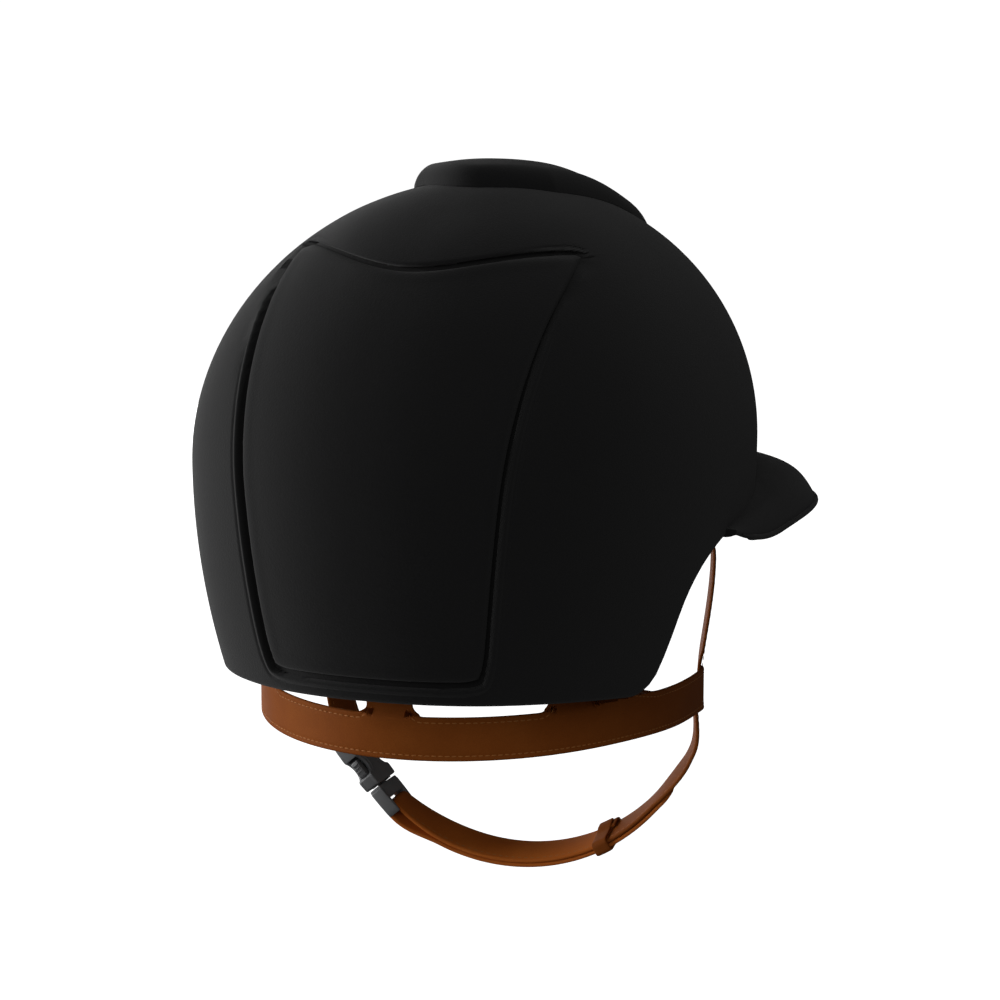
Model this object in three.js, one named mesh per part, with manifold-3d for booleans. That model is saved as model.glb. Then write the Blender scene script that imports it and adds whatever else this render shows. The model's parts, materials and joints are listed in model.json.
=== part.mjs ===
// Equestrian riding helmet with a leather harness.
// Millimetres, +Z up, the face looks along -Y, the wearer's left is +X.
// The origin is the centre of the head opening, a little below the rear rim.
import * as THREE from 'three';
import Module from 'manifold-3d';

const wasm = await Module();
wasm.setup();

// ---------- driving dimensions ----------
const DOME = {
  halfWidth: 108, rear: 138, front: 134,   // half axes at the widest level
  crown: 204, waist: 97,                   // heights of the crown and of the widest level
  roundness: 2.3,                          // exponent of the plan outline
  widthPower: 2.0, rearPower: 1.9, frontPower: 2.2,
  widthTuck: 0.137, rearTuck: 0.132, frontTuck: 0.04,   // how far the wall pulls in below the waist
};
const SHELL_THICKNESS = 4.5;
const LINER = { outer: -5.9, inner: -18.0 };            // offsets from the dome's outside
const PAD = { outer: -24.0, inner: -28.6 };
const PATCH = { outer: -19.2, inner: -22.6 };
const STRAP = { width: 15, thick: 1.6 };
const GAP = 0.35;                                       // between flat neighbours
const CURVED_GAP = 1.1;                                 // between neighbours with different facets

const PANEL = {
  bottom: 25, topCentre: 177.3, topRise: 4.7, height: 157, halfBottom: 43, halfGain: 17.3,
  groove: 1.3, depth: 2.8, thick: 1.4,
};
const COWL = {
  halfRear: 31.4, halfWide: 49, halfFront: 38, rise: 8, wall: 3, roof: 2.6,
  rearCentre: -9, rearCorner: 4.7, wide: 36, front: 74,    // degrees from the crown, forward is positive
};
const COWL_CENTRE = 90;                    // height of the point that the cowl's angles turn about

const VISOR = {
  halfWidth: 112, widest: -58, tip: -200, edgePower: 3.2,
  edgeFront: 51, edgeSide: 56, joint: 68, jointY: 7,
  rootFront: 96, thick: 3.2, lining: 1.6, bead: 1.4, flange: 2.5,
};

const BAND = {
  halfWidth: 86.9, rear: 107, front: -49.5, low: -11.5, high: 7.5, thick: 1.8, tabTop: 46,
  columns: 64, rows: 5,
};
const JUNCTION = { y: -42, z: -5 };                        // where the chin strap leaves the temple strap
const TEMPLE_X = 84.9;
// angles of the chin loop are from its lowest point
const CHIN = { radius: 83.0, tailGap: 0.3, tailEnd: -56, split: -32, keeperAt: -30 };

const BUCKLE = { at: 48, radius: 84.5, halfWidth: 10.5, halfHeight: 3.8, prongHalf: 1.8 };

// ---------- materials ----------
const material = (color, roughness, metalness = 0) =>
  new THREE.MeshStandardMaterial({ color, roughness, metalness });
const shellSuede = material(0x17181a, 0.85);
const ventMesh = material(0x0b0b0c, 0.5);
const foam = material(0x202022, 0.95);
const liningCloth = material(0x1b1b1d, 0.95);
const hookTape = material(0x101010, 0.9);
const leather = material(0x7a4322, 0.55);
const buckleNylon = material(0x2e2f31, 0.45);
const steel = material(0xa8a8aa, 0.35, 1);

const helmet = new THREE.Group();
function add(name, geometry, finish) {
  const mesh = new THREE.Mesh(geometry, finish);
  mesh.name = name;
  helmet.add(mesh);
  return mesh;
}

// ---------- mesh helpers ----------
function geometryFrom(points, triangles) {
  const geometry = new THREE.BufferGeometry();
  geometry.setAttribute('position', new THREE.Float32BufferAttribute(points.flat(), 3));
  geometry.setIndex(triangles.flat());
  return geometry;
}

function signedVolume(points, triangles) {
  const [a, b, c] = [new THREE.Vector3(), new THREE.Vector3(), new THREE.Vector3()];
  let total = 0;
  for (const [i, j, k] of triangles) {
    a.fromArray(points[i]);
    b.fromArray(points[j]);
    c.fromArray(points[k]);
    total += a.dot(b.cross(c)) / 6;
  }
  return total;
}

// A closed solid between two sheets over the same grid. Each sheet is a function of u and v from 0 to 1
// that returns [x, y, z]. With wrap, u runs round and its end joins its start.
function between(columns, rows, outer, inner, wrap = false) {
  const points = [];
  const known = new Map();
  const vertex = (xyz) => {
    const key = xyz.map((value) => Math.round(value * 1000)).join(',');
    if (!known.has(key)) {
      known.set(key, points.length);
      points.push(xyz);
    }
    return known.get(key);
  };
  const grid = (sheet) => {
    const table = [];
    for (let i = 0; i <= columns; i += 1) {
      const u = wrap ? (i % columns) / columns : i / columns;
      table.push(Array.from({ length: rows + 1 }, (_, j) => vertex(sheet(u, j / rows))));
    }
    return table;
  };
  const top = grid(outer);
  const under = grid(inner);
  let triangles = [];
  const quad = (a, b, c, d) => triangles.push([a, b, c], [a, c, d]);
  for (let i = 0; i < columns; i += 1) {
    for (let j = 0; j < rows; j += 1) {
      quad(top[i][j], top[i + 1][j], top[i + 1][j + 1], top[i][j + 1]);
      quad(under[i][j], under[i][j + 1], under[i + 1][j + 1], under[i + 1][j]);
    }
    quad(top[i][0], under[i][0], under[i + 1][0], top[i + 1][0]);
    quad(top[i][rows], top[i + 1][rows], under[i + 1][rows], under[i][rows]);
  }
  for (let j = 0; j < rows && !wrap; j += 1) {
    quad(top[0][j], top[0][j + 1], under[0][j + 1], under[0][j]);
    quad(top[columns][j], under[columns][j], under[columns][j + 1], top[columns][j + 1]);
  }
  triangles = triangles.filter(([a, b, c]) => a !== b && b !== c && a !== c);
  if (signedVolume(points, triangles) < 0) triangles = triangles.map(([a, b, c]) => [a, c, b]);
  return geometryFrom(points, triangles);
}

// A bar of constant outline along a path: rings of points, closed at both ends.
function sweep(rings) {
  const sides = rings[0].length;
  const points = rings.flat();
  const triangles = [];
  for (let i = 0; i < rings.length - 1; i += 1) {
    const near = i * sides;
    const far = near + sides;
    for (let j = 0; j < sides; j += 1) {
      const k = (j + 1) % sides;
      triangles.push([near + j, near + k, far + k], [near + j, far + k, far + j]);
    }
  }
  const last = (rings.length - 1) * sides;
  for (let j = 1; j < sides - 1; j += 1) {
    triangles.push([0, j + 1, j], [last, last + j, last + j + 1]);
  }
  const outward = signedVolume(points, triangles) > 0;
  return geometryFrom(points, outward ? triangles : triangles.map(([a, b, c]) => [a, c, b]));
}

function solid(geometry) {
  const position = geometry.getAttribute('position');
  const index = new Map();
  const vertProperties = [];
  const remap = [];
  for (let i = 0; i < position.count; i += 1) {
    const xyz = [position.getX(i), position.getY(i), position.getZ(i)];
    const key = xyz.map((value) => Math.round(value * 2000)).join(',');
    if (!index.has(key)) {
      index.set(key, index.size);
      vertProperties.push(...xyz);
    }
    remap.push(index.get(key));
  }
  const corners = geometry.index ? Array.from(geometry.index.array) : remap.map((_, i) => i);
  const triVerts = [];
  for (let i = 0; i < corners.length; i += 3) {
    const tri = [remap[corners[i]], remap[corners[i + 1]], remap[corners[i + 2]]];
    if (new Set(tri).size === 3) triVerts.push(...tri);
  }
  return new wasm.Manifold(new wasm.Mesh({
    numProp: 3,
    vertProperties: new Float32Array(vertProperties),
    triVerts: new Uint32Array(triVerts),
  }));
}

function geometryOf(manifold) {
  const mesh = manifold.getMesh();
  const geometry = new THREE.BufferGeometry();
  const count = mesh.vertProperties.length / mesh.numProp;
  const position = new Float32Array(count * 3);
  for (let i = 0; i < count; i += 1) {
    for (let k = 0; k < 3; k += 1) position[i * 3 + k] = mesh.vertProperties[i * mesh.numProp + k];
  }
  geometry.setAttribute('position', new THREE.BufferAttribute(position, 3));
  geometry.setIndex(Array.from(mesh.triVerts));
  return geometry;
}

function cut(geometry, ...tools) {
  return geometryOf(tools.reduce((body, tool) => body.subtract(solid(tool)), solid(geometry)));
}

function join(...geometries) {
  return geometryOf(geometries.slice(1).reduce((body, more) => body.add(solid(more)), solid(geometries[0])));
}

function rod(from, to, radius, sides = 16) {
  const axis = to.clone().sub(from);
  const geometry = new THREE.CylinderGeometry(radius, radius, axis.length(), sides);
  geometry.applyQuaternion(new THREE.Quaternion().setFromUnitVectors(
    new THREE.Vector3(0, 1, 0), axis.clone().normalize()));
  const middle = from.clone().add(to).multiplyScalar(0.5);
  return geometry.translate(middle.x, middle.y, middle.z);
}

// ---------- the dome ----------
const signedPower = (value, power) => Math.sign(value) * Math.abs(value) ** power;
const rad = THREE.MathUtils.degToRad;
const smooth = (value, low, high) => THREE.MathUtils.smoothstep(value, low, high);

// Fraction of the widest half axis at height z, on the dome moved out by offset.
function profile(z, offset, power, tuck) {
  if (z <= DOME.waist) return 1 - tuck * ((DOME.waist - z) / DOME.waist) ** 2;
  const share = Math.min((z - DOME.waist) / (DOME.crown + offset - DOME.waist), 1);
  return (1 - share ** power) ** (1 / power);
}

function halfAxes(z, offset) {
  return {
    width: (DOME.halfWidth + offset) * profile(z, offset, DOME.widthPower, DOME.widthTuck),
    rear: (DOME.rear + offset) * profile(z, offset, DOME.rearPower, DOME.rearTuck),
    front: (DOME.front + offset) * profile(z, offset, DOME.frontPower, DOME.frontTuck),
  };
}

// Point on the dome at plan angle turn (0 at the rear, 90 degrees at the wearer's left) and height z.
function domePoint(turn, z, offset) {
  const axes = halfAxes(z, offset);
  const power = 2 / DOME.roundness;
  const length = Math.cos(turn) >= 0 ? axes.rear : axes.front;
  return [axes.width * signedPower(Math.sin(turn), power), length * signedPower(Math.cos(turn), power), z];
}

// Height of row v of a whole dome: rows crowd towards the crown, and the last ones go below the waist.
function domeHeight(v, offset, bottom) {
  const share = 0.64;
  if (v < share) return DOME.waist + (DOME.crown + offset - DOME.waist) * Math.cos((v / share) * Math.PI / 2);
  return DOME.waist + (bottom - DOME.waist) * (v - share) / (1 - share);
}

function dome(columns, rows, outer, inner, bottom) {
  const sheet = (offset) => (u, v) => domePoint(u * 2 * Math.PI, domeHeight(v, offset, bottom), offset);
  return between(columns, rows, sheet(outer), sheet(inner), true);
}

// y of the dome's rear wall at a given x and z
function rearWall(x, z, offset) {
  const axes = halfAxes(z, offset);
  const share = Math.min(Math.abs(x) / axes.width, 1);
  return axes.rear * (1 - share ** DOME.roundness) ** (1 / DOME.roundness);
}

// Point on the dome at sideways distance x, on a ray at angle lean from the vertical (forward is positive).
function crownPoint(x, lean, offset) {
  let near = 0;
  let far = 260;
  for (let step = 0; step < 40; step += 1) {
    const reach = (near + far) / 2;
    const y = -reach * Math.sin(lean);
    const z = COWL_CENTRE + reach * Math.cos(lean);
    const axes = halfAxes(z, offset);
    const length = y > 0 ? axes.rear : axes.front;
    const inside = z < DOME.crown + offset
      && (Math.abs(x) / axes.width) ** DOME.roundness + (Math.abs(y) / length) ** DOME.roundness < 1;
    if (inside) near = reach;
    else far = reach;
  }
  return [x, -near * Math.sin(lean), COWL_CENTRE + near * Math.cos(lean)];
}

// What is trimmed off under the rim: low at the nape, up in front of the ears, level at the brow.
function belowRim(lift, back) {
  const shape = new THREE.Shape();
  shape.moveTo(160, -60);
  shape.lineTo(160, 17.5 + lift);
  shape.lineTo(125, 16.5 + lift);
  shape.quadraticCurveTo(96, 15.5 + lift, 67 + back, 11.8 + lift);
  shape.quadraticCurveTo(57 + back, 11.4 + lift, 53.6 + back, 19 + lift);
  shape.lineTo(46.8 + back, 40 + lift);
  shape.bezierCurveTo(42 + back, 53 + lift, 30, 63 + lift, 6, 66.5 + lift);
  shape.quadraticCurveTo(-40, 69 + lift, -110, 70.5 + lift);
  shape.lineTo(-170, 71 + lift);
  shape.lineTo(-170, -60);
  const width = 300;
  const geometry = new THREE.ExtrudeGeometry(shape, { depth: width, bevelEnabled: false, curveSegments: 7 });
  geometry.translate(0, 0, -width / 2);
  const turn = new THREE.Matrix4().makeBasis(
    new THREE.Vector3(0, 1, 0), new THREE.Vector3(0, 0, 1), new THREE.Vector3(1, 0, 0));
  return geometry.applyMatrix4(turn);
}

// ---------- outer shell, rear panel and vent cowl ----------
function panelHalfWidth(z) {
  return PANEL.halfBottom + PANEL.halfGain * Math.max((z - PANEL.bottom) / PANEL.height, 0) ** 0.8;
}

function panelSolid(margin, low, high) {
  const sheet = (offset) => (u, v) => {
    const across = 2 * u - 1;
    const top = PANEL.topCentre + PANEL.topRise * smooth(Math.abs(across), 0, 0.8) + margin;
    const z = PANEL.bottom - margin + (top - PANEL.bottom + margin) * v;
    const x = across * (panelHalfWidth(z) + margin);
    return [x, rearWall(x, z, offset), z];
  };
  return between(10, 12, sheet(high), sheet(low));
}

function cowlHalfWidth(lean) {
  if (lean < COWL.wide) {
    return COWL.halfRear + (COWL.halfWide - COWL.halfRear) * smooth(lean, COWL.rearCorner - 12, COWL.wide);
  }
  return COWL.halfWide + (COWL.halfFront - COWL.halfWide) * smooth(lean, COWL.wide, COWL.front);
}

// The cowl's outline moved in by inset, between two offsets, and run on past its front edge by some degrees.
function cowlSolid(inset, low, high, pastFront) {
  const degreesPerMillimetre = 0.5;
  const sheet = (offset) => (u, v) => {
    const across = 2 * u - 1;
    const rearEdge = COWL.rearCentre + (COWL.rearCorner - COWL.rearCentre) * across ** 2;
    const rear = rearEdge + inset * degreesPerMillimetre;
    const lean = rear + (COWL.front + pastFront - rear) * v;
    const x = across * (cowlHalfWidth(lean) - inset);
    return crownPoint(x, rad(lean), offset);
  };
  return between(10, 10, sheet(high), sheet(low));
}

const airSlots = [-24, 0, 24].map((x) => {
  const slot = new THREE.Shape();
  slot.absarc(x, -24, 4, 0, Math.PI, false);
  slot.absarc(x, -52, 4, Math.PI, 2 * Math.PI, false);
  const geometry = new THREE.ExtrudeGeometry(slot, { depth: 80, bevelEnabled: false, curveSegments: 4 });
  return geometry.translate(0, 0, 140);
});

// Line through the wall, square to the dome, at a plan angle and height, between two offsets.
function wallLine(turn, z, from, to) {
  const step = 0.02;
  const at = (a, h) => new THREE.Vector3(...domePoint(a, h, 0));
  const base = at(turn, z);
  const round = at(turn + step, z).sub(at(turn - step, z));
  const up = at(turn, z + 1).sub(at(turn, z - 1));
  const normal = round.cross(up).normalize();
  if (normal.dot(base) < 0) normal.negate();
  return [from, to].map((offset) => base.clone().addScaledVector(normal, offset));
}

const visorScrewSpots = [['left', 1.05], ['centre', 0], ['right', -1.05]].map(([side, turn]) => (
  { side, turn: Math.PI - turn, z: 76.5 }));
const screwLine = (spot, from, to) => wallLine(spot.turn, spot.z, from, to);

add('outer_shell', cut(
  dome(44, 10, 0, -SHELL_THICKNESS, 4),
  belowRim(0, 0),
  panelSolid(PANEL.groove, -PANEL.depth, 5),
  ...airSlots,
  ...visorScrewSpots.map((spot) => rod(...screwLine(spot, -12, 12), 2.4, 10)),
), shellSuede);
add('rear_panel', panelSolid(-PANEL.groove, -PANEL.thick, 0), shellSuede);
add('vent_cowl', cut(
  cowlSolid(0, 0.4, COWL.rise, 0),
  cowlSolid(COWL.wall, -2, COWL.rise - COWL.roof, 8),
), shellSuede);
// The grille stands across the cowl's mouth, from the shell up to its roof.
function grilleSheet(lean) {
  const halfWidth = COWL.halfFront - COWL.wall - GAP;
  const [low, high] = [0.5, COWL.rise - COWL.roof - 0.6];
  return (u, v) => crownPoint((2 * u - 1) * halfWidth, rad(lean), low + (high - low) * v);
}
add('vent_grille', between(10, 1, grilleSheet(COWL.front - 1), grilleSheet(COWL.front - 1.6)), ventMesh);

// ---------- visor ----------
// Rim of the visor at turn 0 (front centre) to 1 (the end at the side), for one side of +1 or -1.
function visorEdge(turn, side, inset = 0) {
  const round = 0.72;
  const power = 2 / VISOR.edgePower;
  if (turn <= round) {
    const angle = (turn / round) * Math.PI / 2;
    const x = (VISOR.halfWidth - inset) * Math.sin(angle) ** power;
    const y = VISOR.widest + (VISOR.tip + inset - VISOR.widest) * Math.cos(angle) ** power;
    const z = VISOR.edgeFront + (VISOR.edgeSide - VISOR.edgeFront) * (1 - Math.cos(angle));
    return [side * x, y, z];
  }
  const back = (turn - round) / (1 - round);
  const ear = domePoint(Math.PI / 2, VISOR.joint, 4)[0];
  const x = VISOR.halfWidth - inset + (ear - VISOR.halfWidth) * back ** 2;
  const y = VISOR.widest + (VISOR.jointY - VISOR.widest) * back;
  return [side * x, y, VISOR.edgeSide + (VISOR.joint - VISOR.edgeSide) * back ** 2];
}

// Where the visor's upper face leaves the shell: highest at the front centre.
const rootHeight = (turn) => VISOR.joint + 1.5 + (VISOR.rootFront - VISOR.joint) * (1 - turn ** 2);
const rootTurn = (turn, side) => Math.PI - side * (Math.PI / 2 + rad(3)) * turn;

// A sheet from the shell out to the rim, over the share of the visor's width given by span.
// It starts at a distance in front of the shell.
function visorSheet(drop, inset, start = 0, span = 1) {
  return (u, v) => {
    const turn = Math.abs(2 * u - 1) * span;
    const side = 2 * u - 1 < 0 ? -1 : 1;
    const root = domePoint(rootTurn(turn, side), rootHeight(turn), 0.8);
    const edge = visorEdge(turn, side, inset);
    const length = Math.hypot(edge[0] - root[0], edge[1] - root[1]);
    const from = Math.min(start / length, 0.8);
    const out = from + (1 - from) * v;
    const bulge = 5 * Math.sin(Math.PI * out) * (1 - turn ** 4);
    return [0, 1, 2].map((k) => root[k] + (edge[k] - root[k]) * out + (k === 2 ? bulge - drop : 0));
  };
}

// The upright part that the screws hold against the shell.
function visorFlange(offset) {
  return (u, v) => {
    const turn = Math.abs(2 * u - 1) * 0.8;
    const side = 2 * u - 1 < 0 ? -1 : 1;
    const low = VISOR.joint + 4;
    return domePoint(rootTurn(turn, side), low + (rootHeight(turn) - 1.2 - low) * v, offset);
  };
}

add('visor', cut(
  join(
    between(22, 4, visorSheet(0, 2), visorSheet(VISOR.thick, 2.4)),
    between(12, 1, visorFlange(0.8 + VISOR.flange), visorFlange(0.8)),
  ),
  ...visorScrewSpots.map((spot) => rod(...screwLine(spot, -12, 4.2), 2.4, 10)),
), shellSuede);
const liningStart = VISOR.flange + CURVED_GAP;
const liningDrop = VISOR.thick + CURVED_GAP;
add('visor_lining', between(22, 4,
  visorSheet(liningDrop, 3.4, liningStart, 0.9),
  visorSheet(liningDrop + VISOR.lining, 3.6, liningStart, 0.9),
), liningCloth);

function bead(path, radius, sides) {
  const curve = new THREE.CatmullRomCurve3(path);
  const spans = Math.round(path.length * 1.6);
  const frames = curve.computeFrenetFrames(spans, false);
  return sweep(frames.tangents.map((_, i) => {
    const centre = curve.getPointAt(i / spans);
    return Array.from({ length: sides }, (_, j) => {
      const angle = (j / sides) * 2 * Math.PI;
      return centre.clone()
        .addScaledVector(frames.normals[i], radius * Math.cos(angle))
        .addScaledVector(frames.binormals[i], radius * Math.sin(angle))
        .toArray();
    });
  }));
}

const edgePath = Array.from({ length: 19 }, (_, i) => {
  const across = (i - 9) / 9;
  const [x, y, z] = visorEdge(Math.abs(across) * 0.97, Math.sign(across) || 1);
  return new THREE.Vector3(x, y, z - VISOR.thick / 2);
});
add('visor_edge_trim', bead(edgePath, VISOR.bead, 6), liningCloth);

for (const spot of visorScrewSpots) {
  const [start, end] = screwLine(spot, 0.3 - SHELL_THICKNESS, VISOR.flange + 0.6);
  add(`visor_screw_${spot.side}`, rod(start, end, 2, 10), steel);
}

// ---------- impact liner ----------
const anchorSpots = {
  rear: { turn: 0, z: 38 },
  side_left: { turn: rad(41), z: 38 },
  side_right: { turn: rad(-41), z: 38 },
  temple_left: { turn: rad(107), z: 84 },
  temple_right: { turn: rad(-107), z: 84 },
};
const rivetLine = (name, from, to) => wallLine(anchorSpots[name].turn, anchorSpots[name].z, from, to);
const rivetNames = Object.keys(anchorSpots);

// ---------- comfort pads ----------
function padSolid(columns, rows, turns, heights, layer) {
  const sheet = (offset) => (u, v) => domePoint(
    turns[0] + (turns[1] - turns[0]) * u, heights[0] + (heights[1] - heights[0]) * v, offset);
  return between(columns, rows, sheet(layer.outer), sheet(layer.inner));
}

const pads = {
  nape_pad: [[rad(-52), rad(52)], [13.5, 62]],
  side_pad_left: [[rad(57), rad(128)], [80, 128]],
  side_pad_right: [[rad(-128), rad(-57)], [80, 128]],
  brow_pad: [[rad(132), rad(228)], [74, 118]],
};
for (const [name, [turns, heights]] of Object.entries(pads)) {
  add(name, padSolid(14, 4, turns, heights, PAD), liningCloth);
}

const crownPadReach = 62;
add('crown_pad', between(24, 4,
  (u, v) => crownDisc(u, v, PAD.outer),
  (u, v) => crownDisc(u, v, PAD.inner), true), liningCloth);

function crownDisc(u, v, offset) {
  const angle = u * 2 * Math.PI;
  const x = crownPadReach * 0.8 * v * Math.sin(angle);
  const reach = crownPadReach * v * Math.cos(angle);
  return crownPoint(x, Math.atan2(reach, DOME.crown - COWL_CENTRE), offset);
}

const patches = {
  hook_patch_brow: [[rad(170), rad(190)], [88, 104]],
  hook_patch_left: [[rad(86), rad(98)], [96, 112]],
  hook_patch_right: [[rad(-98), rad(-86)], [96, 112]],
  hook_patch_nape: [[rad(16), rad(28)], [44, 58]],
};
for (const [name, [turns, heights]] of Object.entries(patches)) {
  add(name, padSolid(3, 2, turns, heights, PATCH), hookTape);
}

// ---------- nape band ----------
// Plan curve of the band: half an ellipse behind, nearly straight sides in front. Share runs -1 to 1.
const frontShare = 0.22;
function bandPlan(share, offset) {
  const side = Math.sign(share) || 1;
  const along = Math.abs(share);
  const bend = 1 - frontShare;
  if (along <= bend) {
    const angle = (along / bend) * Math.PI / 2;
    return [side * (BAND.halfWidth + offset) * Math.sin(angle), (BAND.rear + offset) * Math.cos(angle)];
  }
  const forward = (along - bend) / frontShare;
  return [side * (BAND.halfWidth + offset), BAND.front * forward];
}

const isTab = (share) => Math.max(
  1 - smooth(Math.abs(share), 0.034, 0.078),
  smooth(Math.abs(share), 0.335, 0.375) * (1 - smooth(Math.abs(share), 0.44, 0.48)),
);

function bandSheet(offset) {
  return (u, v) => {
    const share = 2 * u - 1;
    const sideRise = 3.2 * smooth(Math.abs(share), 0.42, 0.5) * (1 - smooth(Math.abs(share), 0.55, 0.8));
    const edge = BAND.high + sideRise;
    const top = edge + (BAND.tabTop - edge) * isTab(share);
    const roundEnd = 3 * smooth(Math.abs(share), 0.97, 1);
    const z = BAND.low + roundEnd + (top - roundEnd - BAND.low) * v;
    const [x, y] = bandPlan(share, offset);
    if (z < 8 || y < 0) return [x, y, z];
    // inside the helmet a tab lies against the liner
    const axes = halfAxes(z, LINER.inner - CURVED_GAP - 0.3 - BAND.thick / 2 + offset);
    const flush = ((Math.abs(x) / axes.width) ** DOME.roundness + (y / axes.rear) ** DOME.roundness)
      ** (-1 / DOME.roundness);
    const reach = Math.min(1 + (flush - 1) * smooth(z, 20, 30), flush);
    return [reach * x, reach * y, z];
  };
}
add('nape_band', cut(
  between(BAND.columns, BAND.rows, bandSheet(BAND.thick / 2), bandSheet(-BAND.thick / 2)),
  ...rivetNames.slice(0, 3).map((name) => rod(...rivetLine(name, -30, -8), 2.4, 10)),
), leather);

add('impact_liner', cut(
  dome(32, 9, LINER.outer, LINER.inner, 12),
  belowRim(7, -4),
  ...airSlots,
  between(BAND.columns, BAND.rows, bandSheet(BAND.thick / 2 + 0.5), bandSheet(-5)),
  ...rivetNames.map((name) => rod(...rivetLine(name, -30, -8), 2.4, 10)),
), foam);

// ---------- temple straps ----------
function templeStrap(side) {
  const low = JUNCTION.z - 4;
  const high = anchorSpots.temple_left.z + 8;
  const sheet = (offset) => (u, v) => {
    const z = low + (high - low) * u;
    const drift = 5 * smooth(z, 0, 60);
    const y = JUNCTION.y - drift + (v - 0.5) * STRAP.width;
    const hanging = TEMPLE_X + 1.6 * smooth(z, 0, 45) + offset;
    const axes = halfAxes(z, LINER.inner - CURVED_GAP - STRAP.thick / 2 + offset);
    const inside = axes.width * (1 - (Math.abs(y) / axes.front) ** DOME.roundness) ** (1 / DOME.roundness);
    const x = hanging + (inside - hanging) * smooth(z, 48, 72);
    return [side * x, y, z];
  };
  return between(14, 1, sheet(STRAP.thick / 2 - 0.1), sheet(-STRAP.thick / 2 + 0.1));
}
for (const [name, side] of [['left', 1], ['right', -1]]) {
  const rivetHole = rod(...rivetLine(`temple_${name}`, -30, -8), 2.4, 10);
  add(`temple_strap_${name}`, cut(templeStrap(side), rivetHole), leather);
}

for (const name of rivetNames) {
  const [headInner, headOuter] = rivetLine(name, LINER.inner - 4.2, LINER.inner - 3.4);
  const [, shankEnd] = rivetLine(name, LINER.inner, -10);
  add(`anchor_rivet_${name}`, join(rod(headInner, headOuter, 4, 12), rod(headInner, shankEnd, 2, 10)), steel);
}

// ---------- chin strap ----------
// Point of the chin loop at angle beta from its lowest point, positive on the wearer's left.
const chinPoint = (beta, radius, y) => [
  radius * Math.sin(rad(beta)), y, JUNCTION.z - radius * Math.cos(rad(beta))];

function chinArc(from, to, radius, columns) {
  const sheet = (offset) => (u, v) => chinPoint(
    from + (to - from) * u, radius + offset, JUNCTION.y + (v - 0.5) * STRAP.width);
  return between(columns, 1, sheet(STRAP.thick / 2), sheet(-STRAP.thick / 2));
}

// Frame of the buckle: along the strap towards the lowest point, across it, and out of the loop.
const buckleBeta = rad(BUCKLE.at);
const buckleAlong = new THREE.Vector3(-Math.cos(buckleBeta), 0, -Math.sin(buckleBeta));
const buckleOut = new THREE.Vector3(Math.sin(buckleBeta), 0, -Math.cos(buckleBeta));
const buckleAcross = new THREE.Vector3().crossVectors(buckleOut, buckleAlong);
const buckleFrame = new THREE.Matrix4()
  .makeBasis(buckleAlong, buckleAcross, buckleOut)
  .setPosition(...chinPoint(BUCKLE.at, BUCKLE.radius, JUNCTION.y));

function block(along, across, out) {
  const size = [along, across, out].map(([low, high]) => high - low);
  const centre = [along, across, out].map(([low, high]) => (low + high) / 2);
  return new THREE.BoxGeometry(...size).translate(...centre);
}
const placed = (geometry) => geometry.applyMatrix4(buckleFrame);

// A plate with rounded corners in the plane of the buckle.
function plate(along, halfAcross, out, radius) {
  const shape = new THREE.Shape();
  const [low, high] = along;
  shape.moveTo(low + radius, -halfAcross);
  shape.absarc(high - radius, radius - halfAcross, radius, -Math.PI / 2, 0, false);
  shape.absarc(high - radius, halfAcross - radius, radius, 0, Math.PI / 2, false);
  shape.absarc(low + radius, halfAcross - radius, radius, Math.PI / 2, Math.PI, false);
  shape.absarc(low + radius, radius - halfAcross, radius, Math.PI, 1.5 * Math.PI, false);
  const geometry = new THREE.ExtrudeGeometry(shape, {
    depth: out[1] - out[0], bevelEnabled: false, curveSegments: 4,
  });
  return geometry.translate(0, 0, out[0]);
}

const full = [-BUCKLE.halfHeight, BUCKLE.halfHeight];
const through = [-8, 8];
// The bar that the strap folds round lies between the two layers.
const MALE = { end: 17, half: 3, bar: 13.8, barLow: -1.5, barHigh: 1.0 };
const tongue = { length: 11, half: 2, thick: 1.5 };
const prong = { tip: -12, root: 2.4, inner: 5.0, outer: 8.2 };

add('buckle_female', placed(cut(
  plate([-22, 2], BUCKLE.halfWidth, full, 2.5),
  block([-14, 4], [-8.7, 8.7], [-2.2, 2.2]),
  block([-12, -4.5], [-12, 12], [-2.0, 2.0]),
  block([-19.6, -16.4], [-8, 8], through),
)), buckleNylon);
add('buckle_male', placed(join(
  cut(
    plate([2.8, MALE.end], BUCKLE.halfWidth - 0.5, [-MALE.half, MALE.half], 2.5),
    block([9.4, MALE.bar], [-8, 8], through),
    block([MALE.bar - 0.5, MALE.end + 1], [-8, 8], [MALE.barHigh, MALE.half + 1]),
    block([MALE.bar - 0.5, MALE.end + 1], [-8, 8], [-MALE.half - 1, MALE.barLow]),
  ),
  block([-tongue.length, 3.5], [-tongue.half, tongue.half], [-tongue.thick, tongue.thick]),
)), buckleNylon);
for (const [name, side] of [['rear', 1], ['front', -1]]) {
  const across = side > 0 ? [prong.inner, prong.outer] : [-prong.outer, -prong.inner];
  const thick = [-BUCKLE.prongHalf, BUCKLE.prongHalf];
  add(`buckle_prong_${name}`, placed(block([prong.tip, prong.root], across, thick)), buckleNylon);
}

const alongAngle = (distance, radius) => THREE.MathUtils.radToDeg(Math.asin(distance / radius));
add('chin_strap_short', chinArc(90, BUCKLE.at + alongAngle(23, CHIN.radius), CHIN.radius, 8), leather);
add('chin_strap_long', chinArc(-90, CHIN.split, CHIN.radius, 14), leather);

// The adjusting end: in from the split, up to the male half, round its bar and back as the tail.
const foldBeta = BUCKLE.at - alongAngle(MALE.bar - 0.4, CHIN.radius);
const tailRadius = CHIN.radius + STRAP.thick + CHIN.tailGap;
const tailSpread = 3.2;                    // how far the tail leaves the main layer at the bar

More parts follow.
